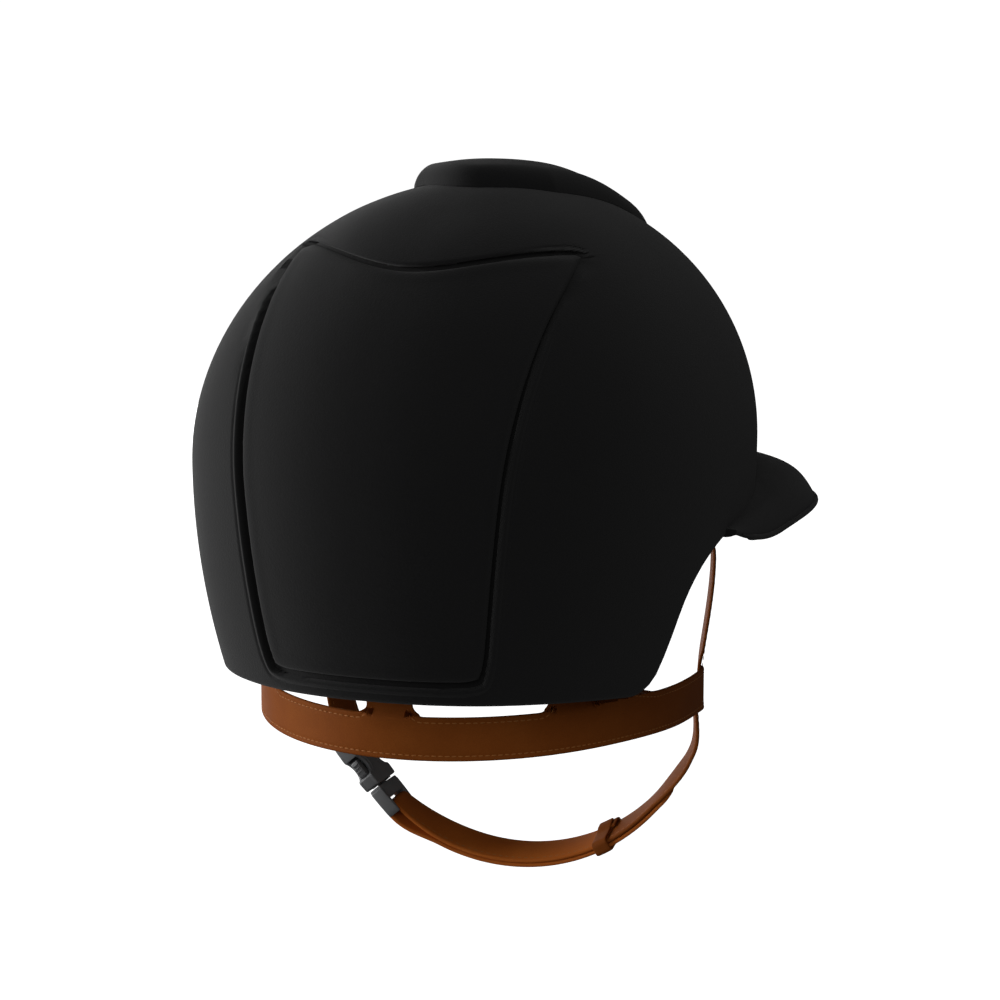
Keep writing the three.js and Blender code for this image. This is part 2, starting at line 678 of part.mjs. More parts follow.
function adjustingEnd() {
  const stations = [];
  const main = 16;
  const start = CHIN.split + 0.3;
  for (let i = 0; i <= main; i += 1) {
    stations.push([start + (foldBeta - start) * (i / main), CHIN.radius, 0]);
  }
  const foldRadius = (tailRadius + tailSpread - CHIN.radius) / 2;
  const middle = CHIN.radius + foldRadius;
  const foldSteps = 5;
  for (let i = 1; i < foldSteps; i += 1) {
    const angle = Math.PI * (i / foldSteps);
    stations.push([
      foldBeta + THREE.MathUtils.radToDeg(foldRadius * Math.sin(angle) / middle),
      middle - foldRadius * Math.cos(angle), angle]);
  }
  const tail = 24;
  for (let i = 0; i <= tail; i += 1) {
    const beta = foldBeta + (CHIN.tailEnd - foldBeta) * (i / tail);
    stations.push([beta, tailRadius + tailSpread * smooth(beta, foldBeta - 17, foldBeta - 2), Math.PI]);
  }
  const half = STRAP.thick / 2;
  return sweep(stations.map(([beta, radius, angle]) => {
    const [x, , z] = chinPoint(beta, radius, 0);
    const out = [Math.sin(rad(beta)), -Math.cos(rad(beta))];
    const along = [Math.cos(rad(beta)), Math.sin(rad(beta))];
    const face = [0, 1].map((k) => out[k] * Math.cos(angle) - along[k] * Math.sin(angle));
    return [[1, 1], [1, -1], [-1, -1], [-1, 1]].map(([way, edge]) => [
      x + face[0] * half * way, JUNCTION.y + edge * STRAP.width / 2, z + face[1] * half * way]);
  }));
}
add('chin_strap_adjuster', adjustingEnd(), leather);

// Keeper loop round both layers.
function keeper() {
  const inner = { low: CHIN.radius - STRAP.thick / 2 - GAP, high: tailRadius + STRAP.thick / 2 + GAP,
    half: STRAP.width / 2 + GAP };
  const wall = 1.3;
  const ring = (grow) => [
    [inner.low - grow, -inner.half - grow], [inner.high + grow, -inner.half - grow],
    [inner.high + grow, inner.half + grow], [inner.low - grow, inner.half + grow]];
  const halfSpan = 2.9;
  const corner = (grow, u, v) => {
    const [radius, across] = ring(grow)[Math.round(u * 4) % 4];
    return chinPoint(CHIN.keeperAt + halfSpan * (2 * v - 1), radius, JUNCTION.y + across);
  };
  return between(4, 2, (u, v) => corner(wall, u, v), (u, v) => corner(0, u, v), true);
}
add('strap_keeper', keeper(), leather);

export default helmet;
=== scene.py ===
import json
import math

import bmesh
import bpy
import numpy as np
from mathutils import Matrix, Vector

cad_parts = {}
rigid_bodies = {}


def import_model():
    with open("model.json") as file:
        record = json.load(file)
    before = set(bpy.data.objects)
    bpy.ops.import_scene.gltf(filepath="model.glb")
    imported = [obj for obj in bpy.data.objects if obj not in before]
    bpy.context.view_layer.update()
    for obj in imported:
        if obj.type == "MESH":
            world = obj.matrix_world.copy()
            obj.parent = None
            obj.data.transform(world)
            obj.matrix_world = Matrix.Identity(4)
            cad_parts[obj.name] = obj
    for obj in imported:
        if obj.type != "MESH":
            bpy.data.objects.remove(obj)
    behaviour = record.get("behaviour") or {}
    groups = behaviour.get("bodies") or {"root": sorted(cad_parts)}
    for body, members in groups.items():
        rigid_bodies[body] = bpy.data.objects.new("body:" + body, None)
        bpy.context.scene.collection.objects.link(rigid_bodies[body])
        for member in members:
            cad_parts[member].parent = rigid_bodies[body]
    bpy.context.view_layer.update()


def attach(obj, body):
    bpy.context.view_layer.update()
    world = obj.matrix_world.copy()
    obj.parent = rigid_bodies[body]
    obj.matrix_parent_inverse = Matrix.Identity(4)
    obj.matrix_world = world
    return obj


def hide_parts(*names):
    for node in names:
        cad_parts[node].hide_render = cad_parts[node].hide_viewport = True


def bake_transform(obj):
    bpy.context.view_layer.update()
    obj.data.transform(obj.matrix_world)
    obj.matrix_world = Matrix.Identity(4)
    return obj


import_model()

# The visual model of the riding helmet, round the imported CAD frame.
# Shapes are worked out in millimetres, with the CAD's own dimensions, and put in the scene in metres.
MM = 0.001

# ---------- driving dimensions, as in the CAD ----------
HALF_WIDTH, REAR, FRONT = 108, 138, 134
CROWN, WAIST = 204, 97
ROUNDNESS = 2.3
WIDTH_POWER, REAR_POWER, FRONT_POWER = 2.0, 1.9, 2.2
WIDTH_TUCK, REAR_TUCK, FRONT_TUCK = 0.137, 0.132, 0.04
SHELL_THICKNESS = 4.5
LINER_OUTER, LINER_INNER = -5.9, -18.0
PAD_OUTER, PAD_INNER = -24.0, -28.6
STRAP_WIDTH, STRAP_THICK = 15, 1.6
COWL_CENTRE = 90


def smooth(value, low, high):
    share = np.clip((value - low) / (high - low), 0, 1)
    return share * share * (3 - 2 * share)


def rounded(distance, radius):
    """Height share of a rounded edge: 0 at the edge, 1 from one radius inwards."""
    share = np.clip(distance / radius, 0, 1)
    return np.sqrt(1 - (1 - share) ** 2)


def signed_power(value, power):
    return np.sign(value) * np.abs(value) ** power


def stack(x, y, z):
    return np.stack(np.broadcast_arrays(x, y, z), -1).astype(float)


# ---------- the dome ----------
def profile(z, offset, power, tuck):
    share = np.clip((z - WAIST) / (CROWN + offset - WAIST), 0, 1)
    below = 1 - tuck * ((WAIST - z) / WAIST) ** 2
    return np.where(z <= WAIST, below, (1 - share**power) ** (1 / power))


def half_axes(z, offset):
    return (
        (HALF_WIDTH + offset) * profile(z, offset, WIDTH_POWER, WIDTH_TUCK),
        (REAR + offset) * profile(z, offset, REAR_POWER, REAR_TUCK),
        (FRONT + offset) * profile(z, offset, FRONT_POWER, FRONT_TUCK),
    )


def dome_point(turn, z, offset):
    """Point at plan angle turn (0 at the rear, 90 degrees at the wearer's left) and height z."""
    width, rear, front = half_axes(z, offset)
    length = np.where(np.cos(turn) >= 0, rear, front)
    power = 2 / ROUNDNESS
    return stack(
        width * signed_power(np.sin(turn), power),
        length * signed_power(np.cos(turn), power),
        z,
    )


def rear_wall(x, z, offset):
    """y of the dome's rear wall."""
    width, rear, _ = half_axes(z, offset)
    share = np.clip(np.abs(x) / width, 0, 1)
    return rear * (1 - share**ROUNDNESS) ** (1 / ROUNDNESS)


def crown_point(x, lean, offset):
    """Point at sideways distance x on a ray at angle lean from the vertical, forward is positive."""
    x, lean, offset = np.broadcast_arrays(x, lean, offset)
    near = np.zeros(x.shape)
    far = np.full(x.shape, 260.0)
    for _ in range(40):
        reach = (near + far) / 2
        y = -reach * np.sin(lean)
        z = COWL_CENTRE + reach * np.cos(lean)
        width, rear, front = half_axes(np.minimum(z, CROWN + offset - 1e-6), offset)
        length = np.where(y > 0, rear, front)
        plan = (np.abs(x) / width) ** ROUNDNESS + (np.abs(y) / length) ** ROUNDNESS
        inside = (z < CROWN + offset) & (plan < 1)
        near = np.where(inside, reach, near)
        far = np.where(inside, far, reach)
    return stack(x, -near * np.sin(lean), COWL_CENTRE + near * np.cos(lean))


# ---------- the rim's side view ----------
def bezier(*points, count=24):
    points = np.array(points, float)
    t = np.linspace(0, 1, count)[:, None]
    if len(points) == 3:
        a, b, c = points
        return (1 - t) ** 2 * a + 2 * t * (1 - t) * b + t**2 * c
    a, b, c, d = points
    return (1 - t) ** 3 * a + 3 * t * (1 - t) ** 2 * b + 3 * t**2 * (1 - t) * c + t**3 * d


def rim_curve(lift, back):
    parts = [
        np.array([[160, 17.5], [125, 16.5]]),
        bezier((125, 16.5), (96, 15.5), (67 + back, 11.8)),
        bezier((67 + back, 11.8), (57 + back, 11.4), (53.6 + back, 19)),
        bezier((46.8 + back, 40), (42 + back, 53), (30, 63), (6, 66.5)),
        bezier((6, 66.5), (-40, 69), (-110, 70.5)),
        np.array([[-170, 71]]),
    ]
    curve = np.vstack(parts)
    curve[:, 1] += lift
    return curve[::-1]


def rim_heights(turns, offset, lift=0, back=0):
    """Height at which each column of the dome meets the rim's side view."""
    curve = rim_curve(lift, back)
    low = np.zeros(len(turns))
    high = np.full(len(turns), 95.0)
    for _ in range(40):
        middle = (low + high) / 2
        y = dome_point(turns, middle, offset)[..., 1]
        below = middle < np.interp(y, curve[:, 0], curve[:, 1])
        low = np.where(below, middle, low)
        high = np.where(below, high, middle)
    return (low + high) / 2


# ---------- mesh helpers ----------
JUNCTION_Y, JUNCTION_Z = -42, -5           # where band, temple strap and chin strap meet
TEMPLE_TURN, TEMPLE_KNEE, TEMPLE_SOFT = 0.38, 34, 4
TEMPLE_SPREAD = 4.2                       # how far the temple straps lean out again higher up
CHIN_TIP = 0.3
HANG_SLOPE, HANG_FROM, HANG_SOFT = 0.075, 48, 20


def drawn_in(points):
    """The harness as it hangs: turned in at the temples, tipped back under the chin, lower on its right."""
    points = np.array(points, float).reshape(-1, 3)
    x, y, z = points.T
    ahead = -TEMPLE_KNEE - y
    in_front = smooth(-y, 20, TEMPLE_KNEE)
    follow = TEMPLE_TURN * (ahead + np.hypot(ahead, TEMPLE_SOFT)) / 2
    at_band = smooth(z, -30, JUNCTION_Z)
    at_cheek = smooth(z, -63, -38) * (1 - at_band) * in_front
    lean_out = TEMPLE_SPREAD * smooth(z, 2, 50) * in_front
    inward = (follow - lean_out) * at_band * (1 - smooth(z, 60, 80))
    inward = inward + TEMPLE_TURN * (JUNCTION_Y - y) * at_cheek
    under_chin = np.where(x < 0, smooth(-z, 32, 56), smooth(-z, 62, 86)) * (z < 0)
    behind = HANG_FROM - y
    low_side = smooth(-x, -10, 60) * smooth(z, -60, -20) * (1 - smooth(z, 15, 60))
    hang = HANG_SLOPE * (behind + np.hypot(behind, HANG_SOFT)) / 2 * low_side
    return stack(x - np.sign(x) * inward, y, z - CHIN_TIP * (y - JUNCTION_Y) * under_chin - hang)


def piece(name, points, faces, material, slot, body="root", sharp=40):
    """A mesh object in the row frame that rides on a body, from points in millimetres."""
    if slot == "leather":
        points = drawn_in(points)
    mesh = bpy.data.meshes.new(name)
    mesh.from_pydata((np.asarray(points, float).reshape(-1, 3) * MM).tolist(), [], faces)
    work = bmesh.new()
    work.from_mesh(mesh)
    bmesh.ops.remove_doubles(work, verts=work.verts, dist=2e-6)
    bmesh.ops.dissolve_degenerate(work, edges=work.edges, dist=1e-6)
    bmesh.ops.recalc_face_normals(work, faces=work.faces)
    work.to_mesh(mesh)
    work.free()
    mesh.shade_smooth()
    mesh.set_sharp_from_angle(angle=math.radians(sharp))
    obj = bpy.data.objects.new(name, mesh)
    bpy.context.scene.collection.objects.link(obj)
    mesh.materials.append(material)
    if body:
        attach(obj, body)
    return obj


def grid_faces(columns, rows, start=0, wrap=False):
    """Quads of a grid whose points are stored column by column."""
    faces = []
    for i in range(columns if wrap else columns - 1):
        k = (i + 1) % columns
        for j in range(rows - 1):
            a, b = start + i * rows + j, start + k * rows + j
            faces.append((a, b, b + 1, a + 1))
    return faces


def slab(outer, inner, wrap=False):
    """Points and faces of a closed solid between two grids of the same size."""
    columns, rows = outer.shape[:2]
    count = columns * rows
    points = np.vstack([outer.reshape(-1, 3), inner.reshape(-1, 3)])
    faces = grid_faces(columns, rows, 0, wrap)
    faces += [f[::-1] for f in grid_faces(columns, rows, count, wrap)]

    def strip(border):
        for a, b in zip(border[:-1], border[1:]):
            faces.append((b, a, a + count, b + count))

    loop = list(range(columns)) + ([0] if wrap else [])
    strip([i * rows for i in loop])
    strip([i * rows + rows - 1 for i in loop][::-1])
    if not wrap:
        strip(list(range(rows))[::-1])
        strip([(columns - 1) * rows + j for j in range(rows)])
    return points, faces


def tube(rings):
    """Points and faces of a bar through rings of points, with flat ends."""
    rings = np.asarray(rings, float)
    count, sides = rings.shape[:2]
    faces = []
    for i in range(count - 1):
        for j in range(sides):
            m = (j + 1) % sides
            faces.append((i * sides + j, i * sides + m, (i + 1) * sides + m, (i + 1) * sides + j))
    faces.append(tuple(range(sides))[::-1])
    faces.append(tuple((count - 1) * sides + j for j in range(sides)))
    return rings.reshape(-1, 3), faces


def merged(*parts):
    """Several (points, faces) in one."""
    points, faces, start = [], [], 0
    for part_points, part_faces in parts:
        part_points = np.asarray(part_points, float).reshape(-1, 3)
        points.append(part_points)
        faces += [tuple(i + start for i in face) for face in part_faces]
        start += len(part_points)
    return np.vstack(points), faces


def unit(vectors):
    return vectors / np.linalg.norm(vectors, axis=-1, keepdims=True)


def resample(path, pitch):
    """Evenly spaced points of a polyline, their directions, and the distance between them."""
    path = np.asarray(path, float)
    steps = np.linalg.norm(np.diff(path, axis=0), axis=1)
    distance = np.concatenate([[0], np.cumsum(steps)])
    count = max(int(distance[-1] / pitch), 2)
    at = (np.arange(count) + 0.5) * distance[-1] / count

    def place(where):
        return np.stack([np.interp(where, distance, path[:, k]) for k in range(3)], -1)

    return place(at), unit(place(at + 0.3) - place(at - 0.3)), at


def stitches(path, outward, pitch=2.6, length=2.0, width=0.55, height=0.36):
    """A row of thread dashes along a path. outward gives the surface normal at each path point."""
    centres, along, at = resample(path, pitch)
    steps = np.linalg.norm(np.diff(path, axis=0), axis=1)
    distance = np.concatenate([[0], np.cumsum(steps)])
    normal = unit(np.stack([np.interp(at, distance, np.asarray(outward)[:, k]) for k in range(3)], -1))
    across = unit(np.cross(normal, along))
    rings = []
    for share in (-1, -0.8, -0.35, 0.35, 0.8, 1):
        swell = math.sqrt(max(1 - share**2, 0)) * 0.75 + 0.25 * (abs(share) < 1)
        ring = []
        for j in range(6):
            angle = j * math.pi / 3
            ring.append(
                centres
                + along * share * length / 2
                + across * math.cos(angle) * width / 2 * swell
                + normal * math.sin(angle) * height / 2 * swell
            )
        rings.append(ring)
    rings = np.array(rings)                # by ring, side, stitch and axis
    return merged(*(tube(rings[:, :, i]) for i in range(rings.shape[2])))


# ---------- materials ----------
class Nodes:
    """A node material round one Principled shader."""

    def __init__(self, name, color, roughness, metallic=0.0, specular=0.5, sheen=0.0, sheen_roughness=0.5):
        self.material = bpy.data.materials.new(name)
        self.material.use_nodes = True
        self.tree = self.material.node_tree
        self.shader = self.tree.nodes["Principled BSDF"]
        inputs = self.shader.inputs
        inputs["Base Color"].default_value = (*color, 1)
        inputs["Roughness"].default_value = roughness
        inputs["Metallic"].default_value = metallic
        inputs["Specular IOR Level"].default_value = specular
        inputs["Sheen Weight"].default_value = sheen
        inputs["Sheen Roughness"].default_value = sheen_roughness
        inputs["Sheen Tint"].default_value = (1, 1, 1, 1)
        self.place = self.tree.nodes.new("ShaderNodeTexCoord").outputs["Object"]
        self.height = None

    def node(self, kind, inputs=(), **settings):
        made = self.tree.nodes.new(kind)
        for key, value in settings.items():
            setattr(made, key, value)
        for key, value in dict(inputs).items():
            if isinstance(value, bpy.types.NodeSocket):
                self.tree.links.new(value, made.inputs[key])
            else:
                made.inputs[key].default_value = value
        return made

    def noise(self, scale, detail=3, roughness=0.55):
        inputs = {"Vector": self.place, "Scale": scale, "Detail": detail, "Roughness": roughness}
        return self.node("ShaderNodeTexNoise", inputs).outputs["Fac"]

    def cells(self, scale, feature="F1"):
        inputs = {"Vector": self.place, "Scale": scale}
        return self.node("ShaderNodeTexVoronoi", inputs, feature=feature).outputs["Distance"]

    def wave(self, scale, direction):
        inputs = {"Vector": self.place, "Scale": scale, "Distortion": 0.0}
        return self.node("ShaderNodeTexWave", inputs, bands_direction=direction).outputs["Fac"]

    def math(self, operation, a, b):
        return self.node("ShaderNodeMath", {0: a, 1: b}, operation=operation).outputs[0]

    def attribute(self, name):
        return self.node("ShaderNodeAttribute", attribute_name=name).outputs["Fac"]

    def ramp(self, factor, stops):
        made = self.node("ShaderNodeValToRGB", {"Fac": factor})
        ramp = made.color_ramp
        while len(ramp.elements) < len(stops):
            ramp.elements.new(0.5)
        for element, (position, color) in zip(ramp.elements, stops):
            element.position = position
            element.color = (*color, 1)
        return made.outputs["Color"]

    def mix(self, factor, a, b):
        made = self.node("ShaderNodeMix", {"Factor": factor}, data_type="RGBA")
        for socket, value in ((made.inputs[6], a), (made.inputs[7], b)):
            if isinstance(value, bpy.types.NodeSocket):
                self.tree.links.new(value, socket)
            else:
                socket.default_value = (*value, 1)
        return made.outputs[2]

    def color(self, value):
        self.tree.links.new(value, self.shader.inputs["Base Color"])

    def roughness(self, factor, low, high):
        made = self.node("ShaderNodeMapRange", {"Value": factor, "To Min": low, "To Max": high})
        self.tree.links.new(made.outputs["Result"], self.shader.inputs["Roughness"])

    def bump(self, value, distance, strength=1.0):
        inputs = {"Height": value, "Distance": distance, "Strength": strength}
        if self.height is not None:
            inputs["Normal"] = self.height
        self.height = self.node("ShaderNodeBump", inputs).outputs["Normal"]
        self.tree.links.new(self.height, self.shader.inputs["Normal"])


def suede():
    """Black suede-like covering with a very fine nap, and painted shade at the bottom of the groove."""
    n = Nodes("shell_suede", (0.008, 0.008, 0.0085), 0.8, specular=0.1, sheen=0.12, sheen_roughness=0.6)
    nap = n.noise(1700, 2, 0.6)
    patches = n.noise(45, 3, 0.5)
    tone = n.mix(nap, (0.006, 0.006, 0.0062), (0.016, 0.016, 0.0165))
    cover = n.mix(n.math("MULTIPLY", patches, 0.45), tone, (0.007, 0.007, 0.0073))
    # painted shade: the groove attribute mixes the colour to near black at the bottom of the groove
    n.color(n.mix(n.attribute("groove"), cover, (0.0015, 0.0015, 0.0015)))
    n.roughness(nap, 0.7, 0.95)
    n.bump(nap, 0.00022, 0.5)
    n.bump(n.cells(950), 0.00012, 0.35)
    return n.material


def tan_leather(name, shade):
    """Vegetable-tanned leather: fine pores, mottled tan, a little darker in patches. shade scales the whole
    colour; a shade above 1 paints light in.
    """
    def tan(*color):
        return tuple(shade * value for value in color)

    n = Nodes(name, (0.2, 0.06, 0.014), 0.6, specular=0.07)
    mottle = n.noise(34, 4, 0.6)
    grain = n.cells(1500, "DISTANCE_TO_EDGE")
    pores = n.noise(2600, 2, 0.6)
    base = n.ramp(mottle, [
        (0.3, tan(0.35, 0.09, 0.0125)), (0.52, tan(0.4, 0.106, 0.016)), (0.75, tan(0.46, 0.13, 0.022)),
    ])
    n.color(n.mix(n.math("MULTIPLY", pores, 0.6), base, tan(0.15, 0.036, 0.005)))
    n.roughness(mottle, 0.6, 0.8)
    n.bump(grain, 0.00012, 0.5)
    n.bump(pores, 0.00008, 0.4)
    return n.material


def thread():
    """Waxed tan thread, with its twist."""
    n = Nodes("stitch_thread", (0.42, 0.2, 0.07), 0.6, specular=0.2)
    twist = n.wave(1400, "DIAGONAL")
    n.color(n.mix(twist, (0.36, 0.12, 0.026), (0.56, 0.21, 0.052)))
    n.bump(twist, 0.0001, 0.5)
    return n.material


def nylon():
    """Dark grey moulded plastic with a fine spark texture."""
    n = Nodes("buckle_nylon", (0.05, 0.052, 0.056), 0.42, specular=0.4)
    spark = n.noise(2600, 2, 0.5)
    cloud = n.noise(120, 2, 0.5)
    n.color(n.mix(cloud, (0.19, 0.194, 0.2), (0.25, 0.255, 0.262)))
    n.roughness(spark, 0.36, 0.52)
    n.bump(spark, 0.00004, 0.4)
    return n.material


def lining_cloth():
    """Black brushed knit of the pads and the peak's underside."""
    n = Nodes("lining_cloth", (0.012, 0.012, 0.013), 0.9, specular=0.15, sheen=0.3, sheen_roughness=0.6)
    rows = n.wave(620, "X")
    columns = n.wave(620, "Z")
    weave = n.math("MULTIPLY", rows, columns)
    fluff = n.noise(1800, 2, 0.6)
    n.color(n.mix(weave, (0.009, 0.009, 0.01), (0.022, 0.022, 0.024)))
    n.roughness(fluff, 0.8, 0.97)
    n.bump(weave, 0.0002, 0.5)
    n.bump(fluff, 0.00012, 0.4)
    return n.material


def bead_foam():
    """Expanded foam: small pressed beads."""
    n = Nodes("bead_foam", (0.02, 0.02, 0.021), 0.75, specular=0.3)
    beads = n.cells(330)
    edges = n.cells(330, "DISTANCE_TO_EDGE")
    n.color(n.mix(beads, (0.028, 0.028, 0.03), (0.014, 0.014, 0.015)))
    n.roughness(beads, 0.6, 0.85)
    n.bump(edges, 0.0003, 0.5)
    return n.material


def hook_tape():
    """The hook side of hook-and-loop tape."""
    n = Nodes("hook_tape", (0.01, 0.01, 0.01), 0.85, specular=0.3, sheen=0.3)
    hooks = n.cells(900)
    n.color(n.mix(hooks, (0.02, 0.02, 0.021), (0.006, 0.006, 0.006)))
    n.bump(hooks, 0.0006, 0.8)
    return n.material


def air_mesh():
    """Matt black wire of the air grille."""
    n = Nodes("air_mesh", (0.01, 0.01, 0.011), 0.5, specular=0.4)
    grain = n.noise(1500, 2)
    n.color(n.mix(grain, (0.007, 0.007, 0.007), (0.016, 0.016, 0.017)))
    n.bump(grain, 0.00005, 0.3)
    return n.material


def zinc_steel():
    """Plated steel of rivets and screws."""
    n = Nodes("zinc_steel", (0.55, 0.55, 0.56), 0.32, metallic=1.0)
    brushing = n.noise(700, 3)
    n.color(n.mix(brushing, (0.46, 0.46, 0.47), (0.62, 0.62, 0.63)))
    n.roughness(brushing, 0.25, 0.42)
    n.bump(brushing, 0.00003, 0.3)
    return n.material


SUEDE = suede()
LEATHER = tan_leather("tan_leather", 0.88)
# painted light: a copy of the leather 1.7 times as bright, standing in for light on the adjusting end's
# upward faces
PAINTED_LIGHT_STRAP_LEATHER = tan_leather("strap_leather", 1.7)
THREAD = thread()
NYLON = nylon()
LINING = lining_cloth()
FOAM = bead_foam()
TAPE = hook_tape()
MESH = air_mesh()
STEEL = zinc_steel()

# ---------- rear panel outline ----------
PANEL_BOTTOM, PANEL_TOP, PANEL_RISE, PANEL_HEIGHT = 25, 177.3, 4.7, 157
PANEL_HALF_BOTTOM, PANEL_HALF_GAIN = 43, 17.3
PANEL_CORNER, PANEL_CORNER_POWER = 0.028, 18
RECESS_DEPTH = 2.8
GROOVE_REACH = 4.4                        # how far from the groove's line the painted shade at its bottom can reach
GROOVE_WALL = 1.7                         # from the middle of the groove to the shell's lip
GROOVE_HALF = 1.25                        # from the middle of the groove to the panel's lip
LIP_RADIUS = 1.3
CROWN_STEP = 1.6                          # how far the crown stands above the panel's top edge


def panel_half_width(z):
    return PANEL_HALF_BOTTOM + PANEL_HALF_GAIN * np.maximum((z - PANEL_BOTTOM) / PANEL_HEIGHT, 0) ** 0.8


def panel_grid(u, v, inset, offset):
    """Rounded-corner panel patch over u and v from -1 to 1."""
    across = u * (1 - PANEL_CORNER * np.abs(v) ** PANEL_CORNER_POWER)
    up = v * (1 - 0.6 * PANEL_CORNER * np.abs(u) ** PANEL_CORNER_POWER)
    top = PANEL_TOP + PANEL_RISE * smooth(np.abs(across), 0, 0.8) - inset * 0.6
    low = PANEL_BOTTOM + inset
    z = low + (top - low) * (up + 1) / 2
    x = across * (panel_half_width(z) - inset)
    return stack(x, rear_wall(x, z, offset), z)


def outline_of(sheet, count=260):
    """Closed border of a patch over u and v from -1 to 1."""
    t = np.linspace(-1, 1, count, endpoint=False)
    one = np.ones(count)
    u = np.concatenate([t, one, -t, -one])
    v = np.concatenate([-one, t, one, -t])
    return sheet(u, v)


def distance_to(points, border):
    """Distance of each point from the nearest border point, in blocks that fit in memory."""
    flat = points.reshape(-1, 3)
    nearest = np.empty(len(flat))
    block = 4000
    for start in range(0, len(flat), block):
        some = flat[start:start + block]
        nearest[start:start + block] = np.linalg.norm(some[:, None] - border[None], axis=2).min(1)
    return nearest.reshape(points.shape[:-1])


def inside_outline(points, border):
    """Whether points of the rear half lie in the border, seen from behind."""
    x, z = points[..., 0].ravel(), points[..., 2].ravel()
    crossings = np.zeros(len(x), int)
    for (ax, _, az), (bx, _, bz) in zip(border, np.roll(border, -1, 0)):
        if az == bz:
            continue
        spans = (z >= min(az, bz)) & (z < max(az, bz))
        crossings += spans & (x < ax + (z - az) / (bz - az) * (bx - ax))
    return (crossings % 2 == 1).reshape(points.shape[:-1]) & (points[..., 1] > 0)


groove_line = outline_of(lambda u, v: panel_grid(u, v, 0, 0))


# ---------- outer shell ----------
def groove_turn(z):
    """Plan angle of the side groove, and millimetres per radian there."""
    z = np.minimum(z, 182)
    width = half_axes(z, 0)[0]
    turn = np.arcsin(np.clip(panel_half_width(z) / width, 0, 0.97) ** (ROUNDNESS / 2))
    step = 0.01
    apart = dome_point(turn + step, z, 0) - dome_point(turn - step, z, 0)
    return turn, np.linalg.norm(apart, axis=-1) / (2 * step)


GROOVE_BAND = 7.0                         # the fine columns reach this far to either side of a groove


def shell_turns(z):
    """Plan angles of all columns at the heights z: fine along both side grooves and at the ear cut."""
    groove, scale = groove_turn(z)
    band = GROOVE_BAND / scale
    inner = np.linspace(-1, 1, 33)
    near = np.linspace(-1, 1, 39)
    near = np.sign(near) * np.abs(near) ** 1.2
    angle = np.linspace(0, 1, 400)
    spot = np.degrees(groove.mean()) + angle * (180 - np.degrees(groove.mean()))
    weight = 1 + 9 * np.exp(-((spot - 66) / 6.5) ** 2) + 2 * np.exp(-((spot - 88) / 12) ** 2)
    share = np.interp(np.linspace(0, 1, 84), np.cumsum(weight) / weight.sum(), angle)
    share[0], share[-1] = 0, 1
    columns = [groove[None] + near[:, None] * band[None]]
    edge = groove + band
    columns.append(edge[None] + share[1:, None] * (math.pi - edge)[None])
    left = np.vstack(columns)
    middle = inner[1:-1, None] * (groove - band)[None]
    right = -left[:-1][::-1]
    return np.vstack([middle, left, right + 2 * math.pi])


REFERENCE = np.concatenate([
    np.linspace(20.0, 22.6, 3, endpoint=False),
    np.linspace(22.6, 30, 17, endpoint=False),
    np.linspace(30, 168, 44, endpoint=False),
    np.linspace(168, 190, 46, endpoint=False),
    np.linspace(190, 198, 8, endpoint=False),
    CROWN - (CROWN - 198) * np.linspace(1, 0, 9) ** 2,
])
RIM_REFERENCE, RIM_BLEND = 17.0, 110.0
FAR_AWAY = 99.0


def wrapped(turn):
    """Plan angle from the rear to either side, from 0 to half a turn."""
    return np.abs(np.mod(turn + math.pi, 2 * math.pi) - math.pi)


def shell_rows(reference, turns_of, offset, lift=0, back=0):
    """Heights and plan angles of the dome's grid above the rim, rows along the last axis."""
    turns = turns_of(reference)
    rims = rim_heights(turns[:, 0], offset, lift, back)
    stretch = np.clip((RIM_BLEND - reference) / (RIM_BLEND - RIM_REFERENCE), 0, 1)
    z = reference[None] + (rims[:, None] - RIM_REFERENCE) * stretch[None]
    groove = groove_turn(reference)[0]
    rise = PANEL_RISE * smooth(wrapped(turns) / groove[None], 0, 0.8)
    lifted = smooth(reference, 130, 172) * (1 - smooth(reference, 184, CROWN))
    return z + rise * lifted[None], turns, rims


def shell_relief(points):
    """How far the covering stands out: a recess under the panel, padded lips, and the crown's step."""
    near = (points[..., 1] > 0) & (np.abs(points[..., 0]) < 75) & (points[..., 2] < 200)
    distance = np.full(near.shape, FAR_AWAY)
    distance[near] = distance_to(points[near], groove_line)
    distance = np.where(inside_outline(points, groove_line), -distance, distance)
    across = np.abs(points[..., 0]) / panel_half_width(points[..., 2])
    at_top = smooth(points[..., 2], 160, 177) * (1 - smooth(across, 0.45, 0.92))
    step = CROWN_STEP * at_top * (1 - smooth(distance, 5, 44))
    lip = LIP_RADIUS + 2.8 * at_top
    share = rounded(distance - GROOVE_WALL, lip)
    ridge = 0.35 * np.exp(-((distance - 3.1) / 0.9) ** 2) - 0.5 * np.exp(-((distance - 5.0) / 0.7) ** 2)
    swell = ridge * (1 - at_top)
    beyond = -RECESS_DEPTH + (RECESS_DEPTH + step) * share + swell
    return np.where(distance < GROOVE_WALL, -RECESS_DEPTH, beyond)


def paint_groove_shade(shell):
    """Paint shade into the bottom of the groove through the covering's material, at half strength along the
    panel's foot.
    """
    mesh = shell.data
    points = np.array([vertex.co for vertex in mesh.vertices]) / MM
    x, y, z = points.T
    width, rear, _ = half_axes(z, 0)
    plan = (np.abs(x) / width) ** ROUNDNESS + (np.maximum(y, 0) / rear) ** ROUNDNESS
    depth = (1 - plan ** (1 / ROUNDNESS)) * np.hypot(x, y)
    near = (y > 0) & (distance_to(points, groove_line) < GROOVE_REACH)
    # painted shade: strongest where the surface lies deepest below the dome, near the groove's line
    painted_shade_mask = smooth(depth, 0.2, 1.2) * near * (1 - 0.5 * smooth(-z, -30, -27))
    mesh.attributes.new("groove", "FLOAT", "POINT").data.foreach_set("value", painted_shade_mask)


